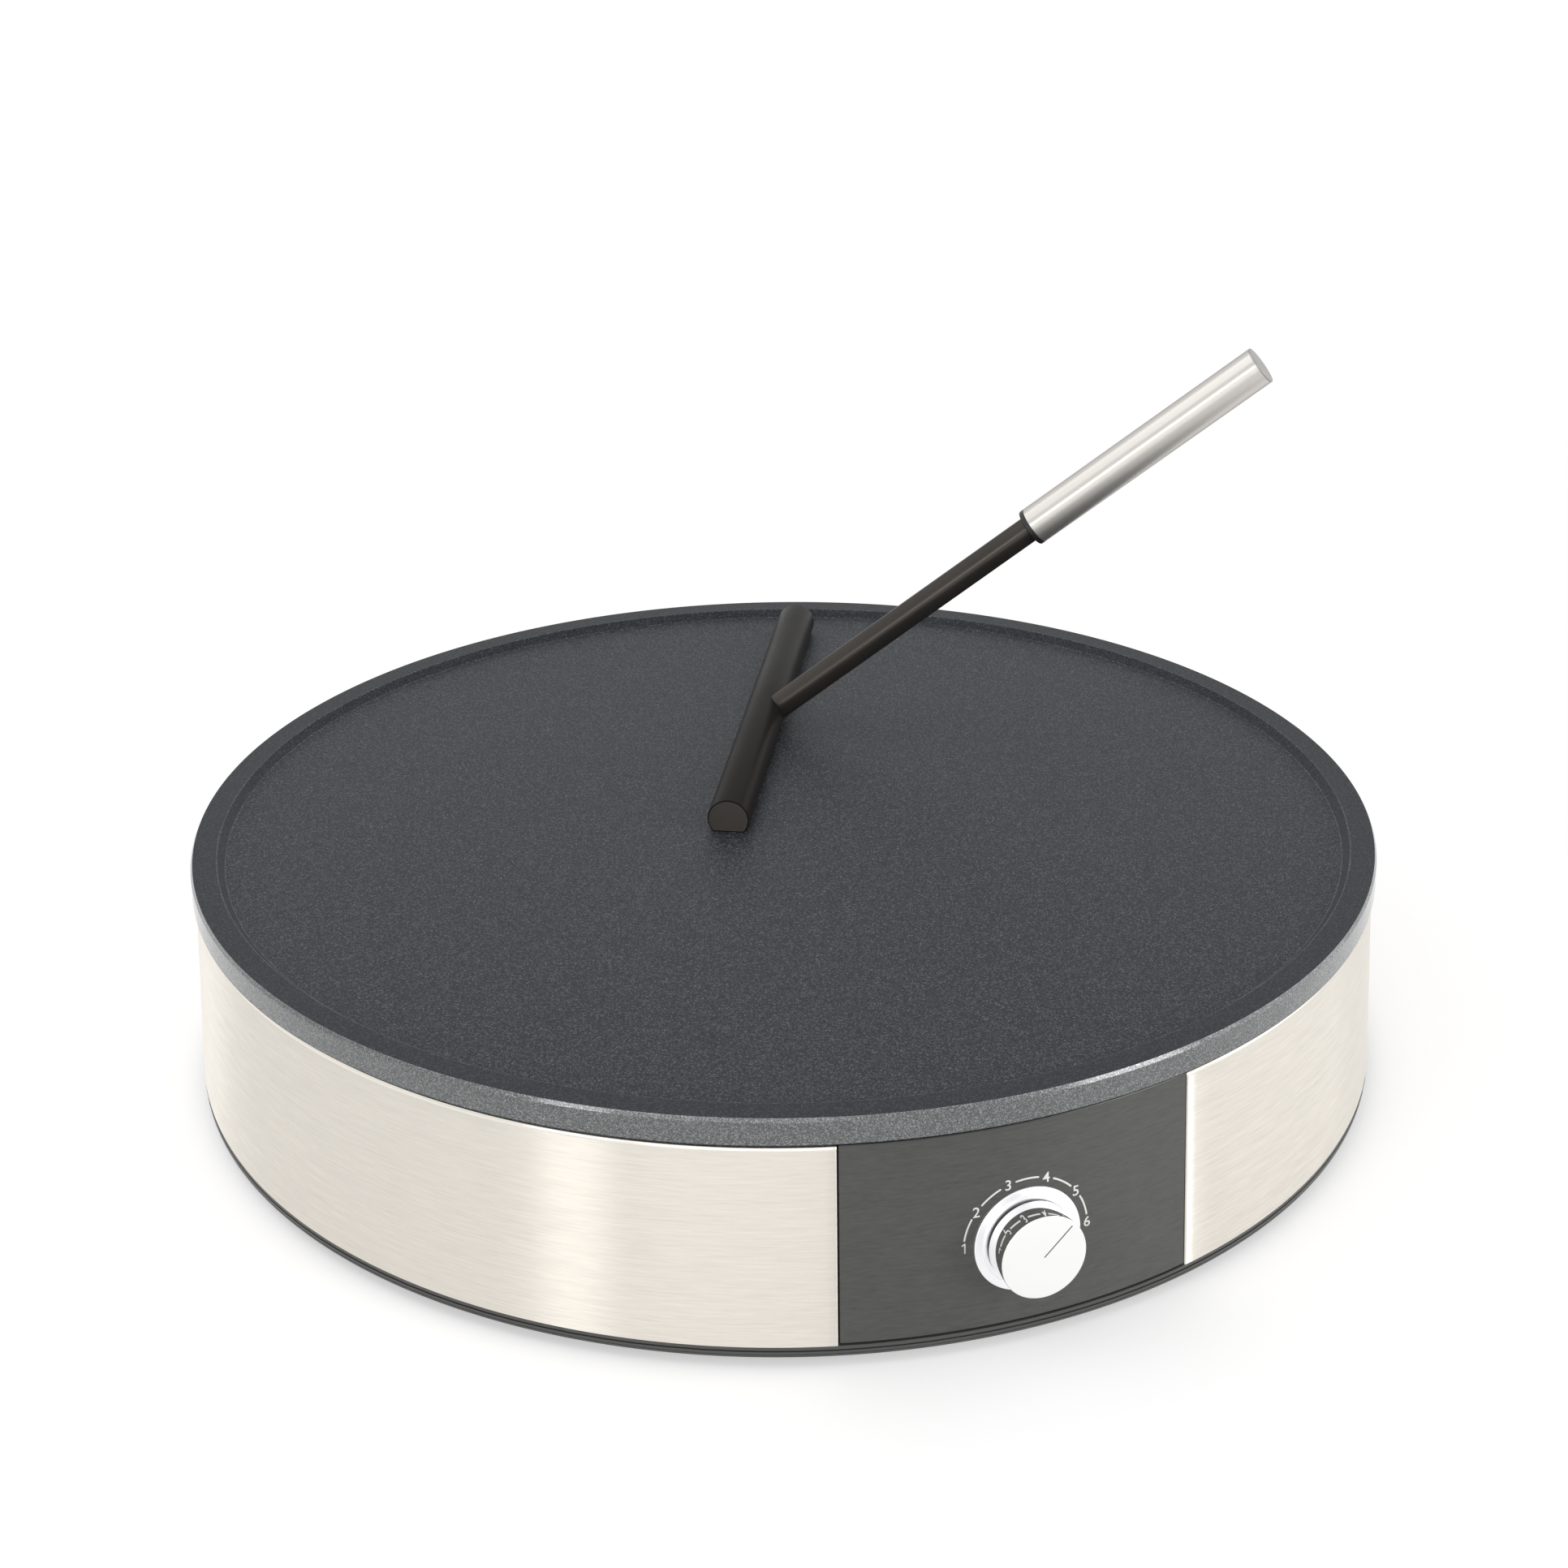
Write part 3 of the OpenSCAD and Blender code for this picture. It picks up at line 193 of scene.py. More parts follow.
class Form:
    """The faces of one piece, gathered in millimetres."""

    def __init__(self):
        self.points = []
        self.faces = []
        self.uvs = []
        self.slots = []

    def grid(self, rows, uvs, slot=lambda p: 0, skip=lambda i, j: False):
        """Quads between rows of points, with a UV in metres for each point."""
        first = len(self.points)
        width = len(rows[0])
        for row in rows:
            self.points.extend(row)
        for i in range(len(rows) - 1):
            for j in range(width - 1):
                if skip(i, j):
                    continue
                corners = [(i, j), (i + 1, j), (i + 1, j + 1), (i, j + 1)]
                self.faces.append([first + a * width + b for a, b in corners])
                self.uvs.append([uvs[a][b] for a, b in corners])
                middle = sum((rows[a][b] for a, b in corners), Vector()) / 4
                self.slots.append(slot(middle))

    def lathe(self, path, place=ON_AXIS, turns=128, closed=False, slot=lambda p: 0):
        """Turns a path of (radius, height) points about the z axis of a frame."""
        outline = [Vector(p) for p in path]
        if closed:
            outline.append(outline[0])
        reach = max(p.x for p in outline)
        lengths = [0.0]
        for a, b in zip(outline, outline[1:]):
            lengths.append(lengths[-1] + (b - a).length)
        rows, uvs = [], []
        for k in range(turns + 1):
            turn = 2 * pi * k / turns
            rows.append([
                Vector((p.x * sin(turn), -p.x * cos(turn), p.y)) for p in outline
            ])
            uvs.append([(turn * reach * MM, length * MM) for length in lengths])
        self.grid([[place @ p for p in row] for row in rows], uvs, slot)

    def prism(self, outline, z_0, z_1, place):
        """Straight solid over an outline."""
        first = len(self.points)
        count = len(outline)
        for z in (z_0, z_1):
            self.points.extend(place @ Vector((p[0], p[1], z)) for p in outline)
        rings = [list(range(first, first + count)), list(range(first + count, first + 2 * count))]
        self.add_face(rings[0][::-1])
        self.add_face(rings[1])
        for k in range(count):
            n = (k + 1) % count
            self.add_face([rings[0][k], rings[0][n], rings[1][n], rings[1][k]])

    def add_face(self, corners):
        """One face over points that are already there."""
        self.faces.append(corners)
        self.uvs.append([(self.points[c].x * MM, self.points[c].y * MM) for c in corners])
        self.slots.append(0)

    def build(self, name, materials):
        """Makes the object, with doubled points joined and faces turned outwards."""
        mesh = bpy.data.meshes.new(name)
        mesh.from_pydata([p * MM for p in self.points], [], self.faces)
        layer = mesh.uv_layers.new(name="strip")
        flat = [uv for face in self.uvs for uv in face]
        for loop, uv in zip(layer.data, flat):
            loop.uv = uv
        for polygon, slot in zip(mesh.polygons, self.slots):
            polygon.material_index = slot
        bm = bmesh.new()
        bm.from_mesh(mesh)
        bmesh.ops.remove_doubles(bm, verts=bm.verts, dist=2e-6)
        bmesh.ops.dissolve_degenerate(bm, edges=bm.edges, dist=1e-6)
        bmesh.ops.recalc_face_normals(bm, faces=bm.faces)
        bm.to_mesh(mesh)
        bm.free()
        piece = bpy.data.objects.new(name, mesh)
        bpy.context.scene.collection.objects.link(piece)
        for material in materials:
            mesh.materials.append(material)
        smooth(piece)
        return piece


def smooth(piece):
    """Smooth shading, with sharp edges kept."""
    piece.data.shade_smooth()
    piece.data.set_sharp_from_angle(angle=radians(SHARP_ANGLE))


def apply_modifiers(piece):
    """Works a piece's modifiers into its mesh."""
    bpy.context.view_layer.update()
    graph = bpy.context.evaluated_depsgraph_get()
    mesh = bpy.data.meshes.new_from_object(piece.evaluated_get(graph))
    mesh.name = piece.name
    piece.modifiers.clear()
    piece.data = mesh


def cut(piece, tool):
    """Takes the tool's volume out of a piece."""
    modifier = piece.modifiers.new("cut", "BOOLEAN")
    modifier.operation = "DIFFERENCE"
    modifier.solver = "EXACT"
    modifier.object = tool
    apply_modifiers(piece)
    bpy.data.objects.remove(tool)
    smooth(piece)


def bevel(piece, width, segments):
    """Rounds a piece's sharp edges."""
    modifier = piece.modifiers.new("bevel", "BEVEL")
    modifier.width = width * MM
    modifier.segments = segments
    modifier.limit_method = "ANGLE"
    modifier.angle_limit = radians(30)
    apply_modifiers(piece)
    smooth(piece)


def thicken(piece, thickness):
    """Gives a sheet its thickness, inwards from its face."""
    modifier = piece.modifiers.new("thick", "SOLIDIFY")
    modifier.thickness = thickness * MM
    modifier.offset = -1
    apply_modifiers(piece)


def cylinder_tool(r, z_0, z_1, place):
    """A plain cylinder that only cuts other pieces."""
    outline = circle_path(0, 0, r, 0, 360 - 360 / TOOL_SIDES, TOOL_SIDES - 1)
    form = Form()
    form.prism(outline, z_0, z_1, place)
    return form.build("tool", [])


def place_piece(piece, body, *nodes, slot):
    """Rides on a body and stands for its CAD nodes; the slot is not used."""
    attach(piece, body)
    if nodes:
        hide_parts(*nodes)


def on_skin(x, y, lift=0.0):
    """The point of the panel's face over a point of the dial's frame."""
    out = 0.0
    for _ in range(8):
        p = DIAL @ Vector((x, y, out))
        out += skin_r(p.z) - hypot(p.x, p.y - AXIS_Y)
    return DIAL @ Vector((x, y, out + lift))


# ---------- finishes ----------

class Finish:
    """A procedural material under construction."""

    def __init__(self, name, roughness=0.5, metallic=0.0, specular=0.5, edge=1.0):
        self.material = bpy.data.materials.new(name)
        self.material.use_nodes = True
        self.tree = self.material.node_tree
        self.shader = self.tree.nodes["Principled BSDF"]
        self.shader.inputs["Roughness"].default_value = roughness
        self.shader.inputs["Metallic"].default_value = metallic
        self.shader.inputs["Specular IOR Level"].default_value = specular
        self.shader.inputs["Specular Tint"].default_value = (edge, edge, edge, 1)
        self.place = self.node("TexCoord").outputs["Object"]

    def node(self, kind, inputs=None, **settings):
        """Adds a node; an input is linked where a socket is given, and set otherwise."""
        made = self.tree.nodes.new("ShaderNode" + kind)
        for key, value in settings.items():
            setattr(made, key, value)
        for key, value in (inputs or {}).items():
            if isinstance(value, bpy.types.NodeSocket):
                self.tree.links.new(value, made.inputs[key])
            else:
                made.inputs[key].default_value = value
        return made

    def set(self, name, value):
        """Links a socket to one of the shader's inputs, or sets a value on it."""
        if isinstance(value, bpy.types.NodeSocket):
            self.tree.links.new(value, self.shader.inputs[name])
        else:
            self.shader.inputs[name].default_value = value

    def math(self, operation, a, b=0.0, c=0.0):
        return self.node("Math", {0: a, 1: b, 2: c}, operation=operation).outputs[0]

    def noise(self, scale, detail=2.0, rough=0.5, vector=None):
        inputs = {"Scale": scale, "Detail": detail, "Roughness": rough}
        inputs["Vector"] = vector or self.place
        return self.node("TexNoise", inputs).outputs["Fac"]

    def cells(self, size):
        """A random value for each cell of about a size in millimetres."""
        inputs = {"Scale": 1 / (size * MM), "Vector": self.place}
        colour = self.node("TexVoronoi", inputs).outputs["Color"]
        return self.node("SeparateColor", {"Color": colour}).outputs[0]

    def stretched(self, scale_u, scale_v):
        """The strip UV, in metres, scaled apart along and across."""
        uv = self.node("UVMap", uv_map="strip").outputs["UV"]
        return self.node("Mapping", {"Vector": uv, "Scale": (scale_u, scale_v, 1)}).outputs[0]

    def ramp(self, value, stops):
        """Colour by value, from (place, colour) stops."""
        made = self.node("ValToRGB", {"Fac": value})
        elements = made.color_ramp.elements
        for i, (where, colour) in enumerate(stops):
            element = elements[i] if i < 2 else elements.new(where)
            element.position = where
            element.color = (*colour, 1)
        return made.outputs["Color"]

    def span(self, value, low, high, from_low=0.3, from_high=0.7):
        """Maps a noise value onto a range."""
        inputs = {"Value": value, "From Min": from_low, "From Max": from_high}
        inputs.update({"To Min": low, "To Max": high})
        return self.node("MapRange", inputs).outputs["Result"]

    def bump(self, height, depth, strength=1.0, under=None):
        """Relief of a depth in millimetres, on top of another relief if one is given."""
        inputs = {"Height": height, "Distance": depth * MM, "Strength": strength}
        if under:
            inputs["Normal"] = under
        normal = self.node("Bump", inputs).outputs["Normal"]
        self.set("Normal", normal)
        return normal


def shade(colour, factor):
    """A colour made lighter or darker."""
    return tuple(min(1.0, c * factor) for c in colour)


def spread(colour, amount):
    """Two stops around a colour."""
    return [(0.25, shade(colour, 1 - amount)), (0.75, shade(colour, 1 + amount))]


def coating(name, ground=1.0, fleck=1.0, rough=0.49, specular=0.15):
    """Non-stick coating with fine bright flecks in a dark blue-grey ground."""
    f = Finish(name, specular=specular)
    flecks = f.cells(0.34)
    fine = f.cells(0.18)
    mixed = f.math("MULTIPLY_ADD", fine, 0.35, f.math("MULTIPLY", flecks, 0.65))
    f.set("Base Color", f.ramp(mixed, [
        (0.25, shade((0.0195, 0.0213, 0.0260), ground)),
        (0.62, shade((0.0340, 0.0377, 0.0440), ground)),
        (0.90, shade((0.150, 0.163, 0.175), ground * fleck)),
    ]))
    f.set("Roughness", f.span(flecks, rough - 0.07, rough + 0.07, 0, 1))
    grain = f.bump(f.noise(2600, 2), 0.02, 0.5)
    f.bump(f.noise(700, 2), 0.03, 0.25, grain)
    return f.material


def turned_wall(name, colour, flecked, rough):
    """The plate's turned edge, grey with a fine metallic fleck under a clear coat."""
    f = Finish(name, metallic=0.8)
    flecks = f.cells(0.24)
    f.set("Base Color", f.ramp(flecks, [
        (0.0, shade(colour, 0.45)),
        (0.6, shade(colour, 0.9)),
        (1.0, shade(colour, flecked)),
    ]))
    f.set("Roughness", f.span(flecks, rough * 1.15, rough * 0.85, 0, 1))
    f.bump(f.noise(2600, 2), 0.02, 0.5)
    f.set("Coat Weight", 1.0)
    f.set("Coat Roughness", 0.12)
    f.set("Coat IOR", 1.6)
    return f.material


def brushed(
    name, colour, roughness, spread_u=14.0, spread_v=4200.0, contrast=0.06, narrow=0.9, edge=1.0,
    **shader
):
    """Sheet metal with fine lines along the strip's length."""
    f = Finish(name, **{"metallic": 1.0, "edge": edge, **shader})
    lines = f.noise(1, 3, 0.6, f.stretched(spread_u, spread_v))
    broad = f.noise(1, 2, 0.5, f.stretched(spread_u / 3, spread_v / 4))
    mixed = f.math("MULTIPLY_ADD", lines, 0.7, f.math("MULTIPLY", broad, 0.3))
    f.set("Base Color", f.ramp(mixed, spread(colour, contrast)))
    f.set("Roughness", f.span(mixed, roughness * 0.85, roughness * 1.15))
    f.bump(lines, 0.004, 0.6)
    f.set("Anisotropic", narrow)
    f.set("Anisotropic Rotation", 0.25)
    tangent = f.node("Tangent", direction_type="UV_MAP", uv_map="strip").outputs["Tangent"]
    f.set("Tangent", tangent)
    return f.material


def plain(name, colour, roughness, grain=900, depth=0.02, vary=0.08, **shader):
    """Fine-grained finish with a slight drift of colour and gloss."""
    f = Finish(name, **shader)
    drift = f.noise(35, 3)
    f.set("Base Color", f.ramp(drift, spread(colour, vary)))
    f.set("Roughness", f.span(drift, roughness * 0.9, roughness * 1.1))
    f.bump(f.noise(grain, 2), depth, 0.5)
    return f.material


coating_finish = coating("coating")
rim_finish = coating("coating_rim", 0.93, 0.6)
# Lighter coating on the step's two edges: a painted highlight, not wear
step_edge_highlight_finish = coating("coating_step_painted_highlight", 1.4, 0.8, 0.42, 0.2)
wall_finish = turned_wall("plate_wall", (0.112, 0.117, 0.119), 2.5, 0.4)
# Lighter grey on the wall's upper edge: a painted highlight
wall_edge_highlight_finish = turned_wall("plate_wall_edge_painted_highlight", (0.175, 0.183, 0.19), 1.8, 0.4)
BAND_COLOUR = (0.785, 0.744, 0.678)
PANEL_COLOUR = (0.100, 0.101, 0.096)
band_finish = brushed(
    "brushed_steel", BAND_COLOUR, 0.37, spread_u=100, spread_v=1900, contrast=0.13, narrow=1.0
)
band_lip_finish = brushed(
    "band_lip", BAND_COLOUR, 0.16, spread_u=90, spread_v=1500, contrast=0.05, narrow=0.2
)
panel_finish = brushed(
    "panel_coat", PANEL_COLOUR, 0.6, spread_u=220, spread_v=1500, contrast=0.3, narrow=0.5,
    metallic=0.6,
)
# The panel's lip is darker than the panel as painted shade of the gap under the plate, and
# smoother as its real finish
panel_lip_shade_finish = brushed(
    "panel_lip_painted_shade", shade(PANEL_COLOUR, 0.7), 0.3, spread_u=220, spread_v=1500, contrast=0.1,
    narrow=0.2,
)
chrome_finish = plain("polished_chrome", (0.88, 0.88, 0.88), 0.045, 60, 0.002, 0.02, metallic=1.0)
satin_finish = plain("satin_white", (0.88, 0.88, 0.875), 0.4, 2200, 0.002, 0.01, metallic=1.0)
collar_finish = plain("collar_satin", (0.94, 0.94, 0.955), 0.36, 2200, 0.001, 0.01, metallic=1.0)
ink_finish = plain("white_ink", (0.92, 0.92, 0.89), 0.5, 3000, 0.004, 0.02)
pointer_finish = plain("pointer_grey", (0.12, 0.12, 0.115), 0.5, 3000, 0.004, 0.05)
plastic_finish = plain("base_plastic", (0.080, 0.081, 0.078), 0.45, 1400, 0.03)
rubber_finish = plain("rubber", (0.035, 0.035, 0.036), 0.75, 1100, 0.04, specular=0.35)
spreader_finish = plain(
    "spreader_black", (0.015, 0.0135, 0.0122), 0.4, 1600, 0.012, 0.12, specular=0.06, edge=0.2
)
stem_finish = plain(
    "stem_black", (0.062, 0.056, 0.050), 0.28, 1600, 0.012, 0.12, metallic=0.6, edge=0.35
)
# Lighter colour on the bar's end faces: painted light from the front
bar_end_lit_finish = plain("bar_end_painted_light", (0.074, 0.067, 0.060), 0.6, 1300, 0.02, 0.15, specular=0.1)
ring_finish = plain("ring_black", (0.012, 0.012, 0.012), 0.4, 1500, 0.01)
grip_finish = brushed("grip_steel", (0.66, 0.635, 0.60), 0.32, contrast=0.03, edge=0.5)
end_finish = brushed("grip_end", (0.36, 0.355, 0.345), 0.45, contrast=0.08, narrow=0.3)

# Finishes of the CAD nodes that stay, by the record's material slots
SLOT_FINISHES = {
    "element_steel": plain(
        "element_steel", (0.16, 0.14, 0.125), 0.45, 500, 0.02, 0.25, metallic=0.9
    ),
    "ceramic": plain("ceramic", (0.80, 0.77, 0.68), 0.6, 1200, 0.02, 0.04),
    "zinc_steel": plain("zinc_steel", (0.62, 0.62, 0.60), 0.32, 700, 0.01, 0.08, metallic=1.0),
    "shield_aluminium": plain(
        "shield_sheet", (0.66, 0.67, 0.68), 0.38, 300, 0.01, 0.06, metallic=1.0
    ),
    "base_plastic": plastic_finish,
    "brass": plain("brass", (0.68, 0.52, 0.22), 0.34, 800, 0.01, 0.08, metallic=1.0),
    "copper_tube": plain("copper", (0.62, 0.34, 0.19), 0.34, 600, 0.01, 0.12, metallic=1.0),
    "wire_brown": plain("wire_brown", (0.13, 0.045, 0.016), 0.5, 700, 0.01),
    "wire_black": plain("wire_black", (0.012, 0.012, 0.013), 0.5, 700, 0.01),
    "wire_blue": plain("wire_blue", (0.025, 0.085, 0.32), 0.5, 700, 0.01),
    "wire_green": plain("wire_green", (0.17, 0.33, 0.03), 0.5, 700, 0.01),
}


# ---------- griddle plate ----------

# Height of the wall's lowest band, which takes the dark coating as a painted shadow line for the
# gap above the band; also the rounding of the wall's foot
WALL_FOOT_AND_SHADE_H = 0.4
# Width of the painted highlight on each edge of the step
STEP_HIGHLIGHT_W = 0.25
# Height of the wall's upper edge that takes the painted highlight
WALL_HIGHLIGHT_H = 0.5


def plate_slot(p):
    """0 coating, also on the wall's lowest band as a painted shadow line over the gap, 1 turned
    wall, 2 its upper edge, lighter as a painted highlight, 3 the coated rim, 4 the step's two
    edges, lighter as a painted highlight.
    """
    r = hypot(p.x, p.y - AXIS_Y)
    if r > PLATE_R - PLATE_EDGE_W:
        # The upper edge gets the lighter grey of a painted highlight
        if p.z > PLATE_TOP_Z - WALL_HIGHLIGHT_H:
            return 2
        # Below this height the wall takes the dark coating: painted shade
        return 1 if p.z > PLATE_Z + WALL_FOOT_AND_SHADE_H else 0
    if p.z < SURFACE_Z - 0.1 or r < WELL_R - STEP_HIGHLIGHT_W:
        return 0
    # Both edges of the step take the lighter coating of a painted highlight
    if r < WELL_R + STEP_HIGHLIGHT_W or abs(r - RIM_IN_R) < STEP_HIGHLIGHT_W:
        return 4
    return 3


def build_plate():
    groove = circle_path(GROOVE_R, GROOVE_MID_Z, GROOVE_HALF_W, 180, 0, 12)
    path = rounded([
        (0, PLATE_Z),
        (RIB_R[0], PLATE_Z, 0.8),
        (RIB_R[0], RIB_Z, 0.8),
        (GROOVE_R - GROOVE_HALF_W, RIB_Z, 0.3),
        *groove,
        (GROOVE_R + GROOVE_HALF_W, RIB_Z, 0.3),
        (RIB_R[1], RIB_Z, 0.8),
        (RIB_R[1], PLATE_Z, 0.8),
        (PLATE_LOW_R, PLATE_Z, WALL_FOOT_AND_SHADE_H),
        (PLATE_R, PLATE_TOP_Z - PLATE_EDGE_H, 0.4),
        (PLATE_R - PLATE_EDGE_W, PLATE_TOP_Z, 0.25),
        (RIM_IN_R, PLATE_TOP_Z, 0.4),
        (WELL_R, SURFACE_Z, 0.4),
        (WELL_R * 0.5, SURFACE_Z),
        (0, SURFACE_Z),
    ])
    form = Form()
    form.lathe(path, turns=360, slot=plate_slot)
    boss = rounded([
        (BOSS_HOLE_R, RIB_Z),
        (BOSS_R, RIB_Z, 0.5),
        (BOSS_R, PLATE_Z + BOSS_SUNK),
        (BOSS_HOLE_R, PLATE_Z + BOSS_SUNK),
    ], closed=True)
    for turn in QUARTER_TURNS:
        form.lathe(boss, on_ring(turn, POST_RING_R), 48, closed=True)
    piece = form.build("plate_casting", [
        coating_finish, wall_finish, wall_edge_highlight_finish, rim_finish, step_edge_highlight_finish,
    ])
    place_piece(piece, "cooker", "griddle_plate", slot="coated_plate")


# ---------- band and control panel ----------

# An extra row this far below the lip's bend holds the wall's shading
BEND_LEAD_H = 0.2
# How far each hole's tool runs past its sheet, on both sides
GLAND_CUT_REACH = 5
DIAL_CUT_REACH = 4


def sheet(name, first, last, low_z, bend, fold_bend, finishes):
    """Bent sheet between two angles, with a rounded lip on top and a fold at both ends."""
    arc = [radians(a) * skin_r(BAND_Z) for a in (first, last)]
    bend_steps = 8
    bends = [90 * k / bend_steps for k in range(1, bend_steps + 1)]
    extras = [LIP_W / 4, LIP_W / 2, LIP_W - bend, FOLD_DEPTH - bend]
    face_steps = max(24, round((last - first) * 1.1))
    low, high = arc[0] + fold_bend, arc[1] - fold_bend
    plan = [(low, -90, e) for e in reversed(extras)]
    plan += [(low, -b, 0) for b in reversed(bends)]
    plan += [(low + (high - low) * k / face_steps, 0, 0) for k in range(face_steps + 1)]
    plan += [(high, b, 0) for b in bends]
    plan += [(high, 90, e) for e in extras]
    bend_z = BAND_TOP_Z - bend
    wall_steps = 10
    rise = [(low_z + (bend_z - low_z) * k / wall_steps, 0, 0) for k in range(wall_steps + 1)]
    rise.insert(wall_steps, (bend_z - BEND_LEAD_H, 0, 0))
    rise += [(bend_z, b, 0) for b in bends]
    rise += [(bend_z, 90, e) for e in extras[:3]]
    rows, uvs = [], []
    for u, turn, fold in plan:
        row, row_uvs = [], []
        for z_0, lift, lip in rise:
            side = cos(radians(lift)) * sin(radians(turn)) * fold_bend
            folded_back = fold_bend * cos(radians(lift)) * (1 - cos(radians(turn)))
            back = bend * (1 - cos(radians(lift))) + folded_back + fold + lip
            z = z_0 + sin(radians(lift)) * bend
            angle = (u + side) / skin_r(BAND_Z)
            r = skin_r(z) - back
            row.append(Vector((r * cos(angle), r * sin(angle) + AXIS_Y, z)))
            along = u + side + fold * (1 if turn > 0 else -1)
            row_uvs.append((along * MM, (z + back) * MM))
        rows.append(row)
        uvs.append(row_uvs)

    def skip(i, j):
        folded = plan[i][2] + plan[i + 1][2] > 0
        return folded and rise[j][2] + rise[j + 1][2] > 0

    form = Form()
    form.grid(rows, uvs, slot=lambda p: 1 if p.z > bend_z else 0, skip=skip)
    piece = form.build(name, finishes)
    thicken(piece, SHEET_T)
    return piece


def build_housing():
    dial_r = skin_r(DIAL.translation.z)
    half = degrees(PANEL_HALF_W / dial_r)
    seam = degrees(SEAM_GAP / dial_r)
    band = sheet(
        "band_sheet", -90 + half, 270 - half, BAND_Z, BAND_BEND, BAND_FOLD_BEND,
        [band_finish, band_lip_finish],
    )
    skin = skin_r(GLAND_Z)
    cut(band, cylinder_tool(GLAND_HOLE_R, skin - GLAND_CUT_REACH, skin + GLAND_CUT_REACH, GLAND))
    place_piece(band, "cooker", "steel_band", slot="brushed_band")
    panel = sheet(
        "panel_sheet", -90 - half + seam, -90 + half - seam, BAND_Z + PANEL_RISE, PANEL_BEND,
        PANEL_BEND, [panel_finish, panel_lip_shade_finish],
    )
    cut(panel, cylinder_tool(PANEL_HOLE_R, -DIAL_CUT_REACH, DIAL_CUT_REACH, DIAL))
    place_piece(panel, "cooker", "control_panel", slot="dark_panel")

    form = Form()
    form.lathe(rounded([
        (BAND_LOW_R - PAN_EDGE_W, PAN_Z),
        (BAND_LOW_R - PAN_EDGE_W, PAN_Z - PAN_EDGE_H),
        (BAND_LOW_R - PAN_EDGE_INSET, PAN_Z - PAN_EDGE_H, 0.4),
        (BAND_LOW_R - PAN_EDGE_INSET, PAN_Z),
    ], closed=True), turns=360, closed=True)
    edge = form.build("pan_edge", [plastic_finish])
    place_piece(edge, "cooker", slot="base_plastic")


# ---------- feet ----------

def build_feet():
    sole = [
        (0, FOOT_GROOVE_H),
        (3.2, FOOT_GROOVE_H),
        (3.6, 0, 0.1),
        (5.4, 0, 0.1),
        (5.8, FOOT_GROOVE_H, 0.1),
        (6.2, 0, 0.1),
    ]
    path = rounded([
        *sole,
        (FOOT_R, 0, 1.0),
        (FOOT_R, PAN_Z, 0.3),
        (FOOT_STEM_R, PAN_Z),
        (FOOT_STEM_R, BAND_Z),
        (FOOT_BARB_R, BAND_Z, 0.2),
        (FOOT_STEM_R - 0.5, BAND_Z + FOOT_BARB_H, 0.3),
        (0, BAND_Z + FOOT_BARB_H),
    ])
    form = Form()
    for turn in QUARTER_TURNS:
        form.lathe(path, on_ring(turn, FOOT_RING_R), 64)
    piece = form.build("foot_set", [rubber_finish])
    place_piece(piece, "cooker", "rubber_feet", slot="foot_rubber")


# ---------- dial ----------

COLLAR_R = 14.5
COLLAR_T = 0.5
COLLAR_HUB_R = 12.3
COLLAR_HUB_H = 1.1
KNOB_Z0 = 1.8
KNOB_Z1 = 10.1
KNOB_BACK_R = 11.3
KNOB_FACE_R = 11.45
KNOB_WALL = 0.7
POINTER_W = 0.35
POINTER_DEPTH = 0.15
POINTER_TURN = 46.0
POINTER_MARGIN = 1
NUMBERS = 6
NUMBER_R = 16.9
NUMBER_STEP = 35.5
NUMBER_H = 2.9
NUMBER_WEIGHT = 0.01
ARC_HALF = 10.8
ARC_W = 0.5
INK_T = 0.03


def build_collar():
    """Stepped ring, whose back follows the panel's curved face."""
    path = rounded([
        (PANEL_HOLE_R, -1),
        (COLLAR_R, -1),
        (COLLAR_R, COLLAR_T, 0.25),
        (COLLAR_HUB_R, COLLAR_T, 0.15),
        (COLLAR_HUB_R, COLLAR_HUB_H, 0.3),
        (PANEL_HOLE_R, COLLAR_HUB_H),
    ], closed=True)
    form = Form()
    form.lathe(path, Matrix.Identity(4), 128, closed=True)
    for i, p in enumerate(form.points):
        form.points[i] = on_skin(p.x, p.y) if p.z < 0 else DIAL @ p
    piece = form.build("collar_ring", [collar_finish])
    place_piece(piece, "cooker", "dial_collar", slot="dial_chrome")


